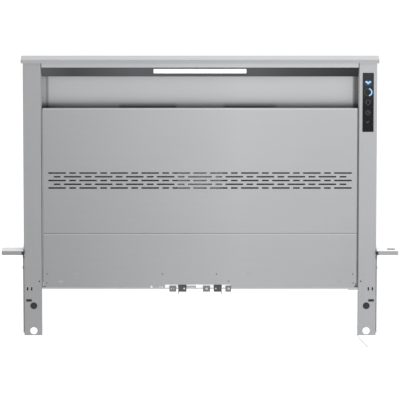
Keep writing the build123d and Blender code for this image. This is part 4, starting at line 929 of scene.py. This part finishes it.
@dataclass
class Chimney:
    """Rising chimney: cap, posts, air box, lamp, front panels, filters and touch control."""

    panel_face: float = 0.6
    weld_level: float = -62.4
    weld_places: Places = (-321.3, -312.8, -182.6, -174.1, 121.2, 128.1, 313.0, 320.7)
    weld_radius: float = 2.3
    oval_level: float = -82.7
    oval_places: Places = (-357.5, -215.2, -126.6, 360.0)
    oval_radius: float = 4.6
    pin_level: float = -86.6
    pin_places: Places = (-393.6, 393.6)
    pin_radius: float = 1.7
    plug_level: float = -97.2
    plugs: Stops = ((-124.8, 3.4), (-103.0, 1.9), (-97.0, 1.9))
    clip_pins: Rows = (
        (-73.4, 6.5, -103.0, 1.3), (-68.4, 6.5, -103.0, 1.3), (-40.6, 6.0, -102.4, 2.2),
        (17.0, 6.5, -103.0, 2.9), (40.7, 6.0, -102.4, 1.8), (73.6, 6.5, -103.0, 3.0),
    )
    # strips in the notch that glow as painted light
    glow_strips: Rows = (
        (-90.2, -56.4, 19.2, -102.8), (-10.0, 35.2, 19.2, -102.8), (56.0, 79.7, 19.2, -102.8),
        (-34.8, -9.9, 20.2, -98.4),
    )
    glow_top: float = -91.5
    sheet: float = 0.6
    # black sheets as painted shade in the legs
    shadow_face: float = 1.5
    shadow_span: Span = (409.5, 447.8)
    shadow_levels: Span = (-115.0, -74.0)
    back_face: float = 45.2
    rivet_columns: Places = (-411.0, 411.0)
    rivet_levels: Places = (-76.0, -10.0, 56.0, 122.0, 188.0, 254.0, 320.0, 386.0, 452.0)

    def build(self) -> None:
        """Dresses the nodes and adds the control's symbols, marks and fasteners."""
        self.dress_nodes()
        TouchControl().build()
        self.panel_marks()
        self.lower_edge()
        self.leg_shadow_sheets()
        self.back_rivets()

    def dress_nodes(self) -> None:
        """Gives the chimney's CAD nodes their finishes."""
        low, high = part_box("control_glass")
        glass = BlackGlass("touch_glass", (0.012, 0.012, 0.013), (0.045, 0.046, 0.049), high.z, low.z)
        dress({
            Look.cap: "top_cap",
            Look.post: "post_left post_right",
            Look.bright: "side_wall_left side_wall_right panel_rail_left floor_pan centre_bar "
                         "cable_guide_strip",
            # the right panel rail wears the dark steel as painted shade, the left rail stays bright
            Look.clip_and_shade: "panel_rail_right bottom_clips",
            Look.duct: "rear_panel",
            Look.panel: "lower_panel access_panel",
            Look.hood: "lamp_housing",
            Look.lamp: "lamp_diffuser",
            Look.board: "led_board control_board",
            Look.rivet: "panel_rivets",
            Look.dark: "filter_frame",
            Look.divider: "filter_divider",
            Look.filter: "grease_filter_left grease_filter_right",
            Look.magnet: "panel_magnets sensor_magnets",
            Look.zinc: "strike_plates",
            Look.plug: "leg_plugs",
            Look.stop: "stop_blocks",
            Look.nylon: "control_tray",
            Look.rack: "rack_left rack_right",
            Look.aluminium: "rack_rail_left rack_rail_right",
            glass: "control_glass",
        })

    def panel_marks(self) -> None:
        """Faint welds and ovals pressed in the lower panel, and its pins and small white plugs."""
        face = self.panel_face
        weld = dome((0, face, self.weld_level), self.weld_radius, 0.25, FRONT).copies(self.weld_places)
        weld.done("panel_welds", Body.CHIMNEY, "stainless", Look.mark)
        oval = dome((0, face, self.oval_level), self.oval_radius, 0.2, FRONT, 16)
        oval.resize((1.5, 1.0, 0.75), (0, 0, self.oval_level)).copies(self.oval_places)
        oval.done("panel_ovals", Body.CHIMNEY, "stainless", Look.mark)
        pin = dome((0, face, self.pin_level), self.pin_radius, 0.5, FRONT).copies(self.pin_places)
        pin.done("panel_pins", Body.CHIMNEY, "stainless", Look.rivet)
        for number, (x, radius) in enumerate(self.plugs, 1):
            plug = dome((x, face, self.plug_level), radius, 0.5, FRONT, 16)
            plug.done(f"panel_plug_{number}", Body.CHIMNEY, "white_nylon", Look.white)

    def lower_edge(self) -> None:
        """Strips that close the notch in the lower edge and glow as painted light, and white pins in the clips
        and stop blocks.
        """
        # strips that glow as painted light
        strips = []
        for left, right, face, low in self.glow_strips:
            strip = Blank.block((left, face, low), (right, face + self.sheet, self.glow_top))
            strips.append(strip.facing(FRONT).inset(1.0, 0.2))
        strips[0].join(*strips[1:]).done("notch_glow_strips", Body.CHIMNEY, "white_nylon", Look.seal)
        pins = [dome((x, face, level), radius, 0.4, FRONT) for x, face, level, radius in self.clip_pins]
        pins[0].join(*pins[1:]).done("clip_pins", Body.CHIMNEY, "white_nylon", Look.white)

    def leg_shadow_sheets(self) -> None:
        """Black sheets in the legs behind their dot holes, key slots and clip slots, as painted shade."""
        bottom, top = self.shadow_levels
        # black sheets put in the legs as painted shade
        for side, name in ((-1.0, "left"), (1.0, "right")):
            low, high = sorted(side * edge for edge in self.shadow_span)
            shadow_sheet = Blank.block((low, self.shadow_face, bottom), (high, self.shadow_face + self.sheet, top))
            shadow_sheet.facing(FRONT).inset(1.0, 0.3)
            shadow_sheet.done(f"leg_shadow_sheet_{name}", Body.CHIMNEY, "black_nylon", Look.hole)

    def back_rivets(self) -> None:
        """Rivets that hold the rear panel to the side walls' flanges."""
        head = dome((0, self.back_face, 0), 3.2, 1.3, BACK).copies(self.rivet_columns, up=self.rivet_levels)
        head.done("rear_panel_rivets", Body.CHIMNEY, "zinc", Look.zinc)


@dataclass
class FixedFrame:
    """What is fixed to the worktop and cabinet: brackets, mouth frame, plenum, blower and power box."""

    bead_length: float = 68.0
    bead_width: float = 8.0
    bead_start: float = 84.0
    bead_pitch: float = 34.0
    bead_places: Places = (-280.0, -168.0, -56.0, 56.0, 168.0, 280.0)
    rivet_row: float = 144.0
    rivet_places: Places = tuple(range(-276, 277, 69))
    cap_radius: float = 36.0
    cap_height: float = 4.0
    rib_count: int = 16
    rib_half: float = 0.9
    rib_span: Span = (15.0, 31.0)
    rib_levels: Span = (5.5, 8.2)
    collar_radius: float = 75.2
    collar_bead: float = 2.0
    collar_back: float = 14.0
    band_radius: float = 18.6
    band_height: float = 8.0
    cover_edge: float = 8.0
    gear_screws: Span = (-26.0, 22.0)

    def build(self) -> None:
        """Dresses the nodes and adds beads, ribs and screws."""
        self.dress_nodes()
        self.plenum_trim()
        self.blower_trim()
        self.box_screws()
        self.lift_trim()

    def dress_nodes(self) -> None:
        """Gives the fixed frame's CAD nodes their finishes."""
        dress({
            Look.bracket: "side_bracket_left side_bracket_right",
            Look.nylon: "ear_pads guide_shoes position_sensor cable_gland",
            Look.galvanised: "mouth_frame plenum inlet_ring",
            Look.scroll: "blower_scroll blower_cover outlet_collar",
            Look.plated: "power_box power_box_cover",
            Look.foam: "mouth_seal",
            Look.paint: "fan_motor lift_motor",
            Look.zinc: "motor_screws frame_bolts",
            Look.casting: "gearbox",
            Look.brass: "shaft_bushes",
        })

    def plenum_trim(self) -> None:
        """Beads pressed in the plenum's roof and rivets along its rear edge."""
        _, (_, _, top), _ = corners("plenum")
        half, start = self.bead_length / 2, self.bead_start
        bead = Blank.block((-half, start, top), (half, start + self.bead_width, top + 1.6))
        bead.facing(UP).inset(1.6, 0.5).smooth(50.0).copies(self.bead_places, (0.0, self.bead_pitch))
        bead.done("plenum_beads", Body.FRAME, "galvanised", Look.galvanised)
        head = dome((0, self.rivet_row, top), 2.6, 1.1, UP).copies(self.rivet_places)
        head.done("plenum_rivets", Body.FRAME, "zinc", Look.zinc)

    def blower_trim(self) -> None:
        """Ribbed end cap of the fan motor, and the rolled bead of the duct collar."""
        _, (_, _, top), (x, y, _) = corners("fan_motor")
        cap = Blank.round((x, y, top + self.cap_height / 2), self.cap_radius, self.cap_height, Axis.Z, 40)
        cap.facing(UP).inset(3.0, 2.0).inset(20.0).inset(1.5, 1.2).smooth(35.0)
        cap.done("motor_end_cap", Body.FRAME, "motor_paint", Look.paint)
        (near, far), (low, high), half = self.rib_span, self.rib_levels, self.rib_half
        rib = Blank.block((x + near, y - half, top + low), (x + far, y + half, top + high))
        rib.facing(UP).inset(0.5, 0.3)
        rib.turned([number * 360.0 / self.rib_count for number in range(self.rib_count)], (x, y, top), "Z")
        rib.done("motor_ribs", Body.FRAME, "motor_paint", Look.paint)
        _, high, middle = corners("outlet_collar")
        centre = (high[0] - self.collar_back, *middle[1:])
        bead = Blank(
            bpy.ops.mesh.primitive_torus_add, location=Vector(centre) * MM, rotation=Axis.X.value,
            major_radius=self.collar_radius * MM, minor_radius=self.collar_bead * MM,
            major_segments=72, minor_segments=10,
        )
        bead.resize((1.6, 1.0, 1.0), centre).smooth(60.0)
        bead.done("collar_bead", Body.FRAME, "galvanised", Look.galvanised)

    def box_screws(self) -> None:
        """Screws in the corners of the power box's cover."""
        low, high, _ = corners("power_box_cover")
        edge = self.cover_edge
        across, up = high[0] - low[0] - 2 * edge, high[2] - low[2] - 2 * edge
        heads = screws((low[0] + edge, high[1], low[2] + edge), 3.4, 2.0, across, up)
        heads.done("power_box_screws", Body.FRAME, "zinc", Look.zinc)

    def lift_trim(self) -> None:
        """Cover plate screws of the gearbox, and the band round the lift motor."""
        low, high, _ = corners("gearbox")
        heads = screws((high[0] - self.cover_edge, high[1], low[2] + 6.0), 2.6, 1.6, *self.gear_screws)
        heads.done("gearbox_screws", Body.FRAME, "zinc", Look.zinc)
        low, _, (x, y, _) = corners("lift_motor")
        band = Blank.round((x, y, low[2] + 5.0), self.band_radius, self.band_height, Axis.Z, 40)
        band.pick(lambda normal: abs(normal.z) > 0.9).inset(0.6, 0.4).smooth(50.0)
        band.done("lift_motor_band", Body.FRAME, "zinc", Look.zinc)


class MovingParts:
    """Lift shaft with its pinions, fan wheel and damper."""

    def build(self) -> None:
        """Dresses the nodes."""
        dress({
            Look.shaft: "cross_shaft",
            Look.rack: "pinion_left pinion_right",
            Look.impeller: "impeller",
            Look.grey: "damper_flap",
        })


# ---- studio ----


@dataclass(frozen=True)
class SoftBox:
    """A square area light aimed at the vent."""

    name: str
    place: Point
    size: float
    power: float
    aim: Point = (0.0, 0.05, 0.1)

    def hang(self) -> None:
        """Adds the light to the scene."""
        data = bpy.data.lights.new(self.name, "AREA")
        data.shape = "SQUARE"
        data.size = self.size
        data.energy = self.power
        light = bpy.data.objects.new(self.name, data)
        light.location = self.place
        light.rotation_euler = (Vector(self.aim) - Vector(self.place)).to_track_quat("-Z", "Y").to_euler()
        light.visible_camera = False
        bpy.context.scene.collection.objects.link(light)


@dataclass
class Studio:
    """Pale floor at the height of a kitchen floor, white background, soft light and the camera."""

    floor_level: float = -0.86
    floor_size: float = 80.0
    floor_tone: float = 0.86
    shadow_tone: float = 0.5
    ambient: float = 0.4
    camera_place: Point = (0.0, -13.7141, 2.9462)
    camera_tilt: float = 11.6
    lens: float = 492.0
    sensor: float = 36.0
    boxes: tuple[SoftBox, ...] = (
        SoftBox("key_right", (1.6, -2.6, 1.6), 3.2, 58.0),
        SoftBox("fill_left", (-2.8, -2.4, 1.0), 2.2, 10.0),
        SoftBox("top", (0.2, -0.2, 3.0), 2.4, 17.0),
        SoftBox("back", (0.6, 3.2, 1.2), 2.2, 17.0),
    )

    def build(self) -> None:
        """Sets up the world, floor, lights and camera."""
        scene = bpy.context.scene
        scene.view_settings.view_transform = "Standard"
        self.world(scene)
        self.floor()
        for box in self.boxes:
            box.hang()
        self.camera(scene)

    def world(self, scene: bpy.types.Scene) -> None:
        """White for what is seen, a softer grey for what lights."""
        scene.world = bpy.data.worlds.new("studio")
        nodes = NodeTree(scene.world)
        grey = (self.ambient, self.ambient, self.ambient * 1.01, 1.0)
        lighting, shown = (nodes.add("Background", tone).outputs[0] for tone in (grey, PLAIN))
        nodes.split(lighting, shown, "OutputWorld")

    def floor(self) -> None:
        """A plain pale floor that keeps the vent's shadow."""
        bpy.ops.object.select_all(action="DESELECT")
        bpy.ops.mesh.primitive_plane_add(size=self.floor_size, location=(0.0, 0.0, self.floor_level))
        plane = bpy.context.object
        plane.name = "floor"
        material = bpy.data.materials.new("floor")
        nodes = NodeTree(material)
        tones = [(*shade(WHITE, level), 1.0) for level in (self.floor_tone, self.shadow_tone)]
        lit, shadowed = (nodes.add("BsdfDiffuse", tone).outputs[0] for tone in tones)
        glow = nodes.add("Emission", Strength=self.floor_tone).outputs[0]
        shown = nodes.add("AddShader", shadowed, glow).outputs[0]
        nodes.split(lit, shown, "OutputMaterial")
        plane.data.materials.append(material)

    def camera(self, scene: bpy.types.Scene) -> None:
        """A long lens far in front, so that upright edges stay upright, looking down on the cap a little."""
        data = bpy.data.cameras.new("camera")
        data.sensor_width = self.sensor
        data.lens = self.lens
        data.clip_start, data.clip_end = 0.1, 200.0
        camera = bpy.data.objects.new("camera", data)
        camera.location = self.camera_place
        camera.rotation_euler = (math.radians(90.0 - self.camera_tilt), 0.0, 0.0)
        scene.collection.objects.link(camera)
        scene.camera = camera


def main() -> None:
    """Builds the studio and the vent."""
    logging.basicConfig(level=logging.INFO, format="%(message)s")
    for assembly in (Studio(), Chimney(), FixedFrame(), MovingParts()):
        assembly.build()
        LOG.info("%s is built", type(assembly).__name__)


if __name__ == "__main__":
    main()
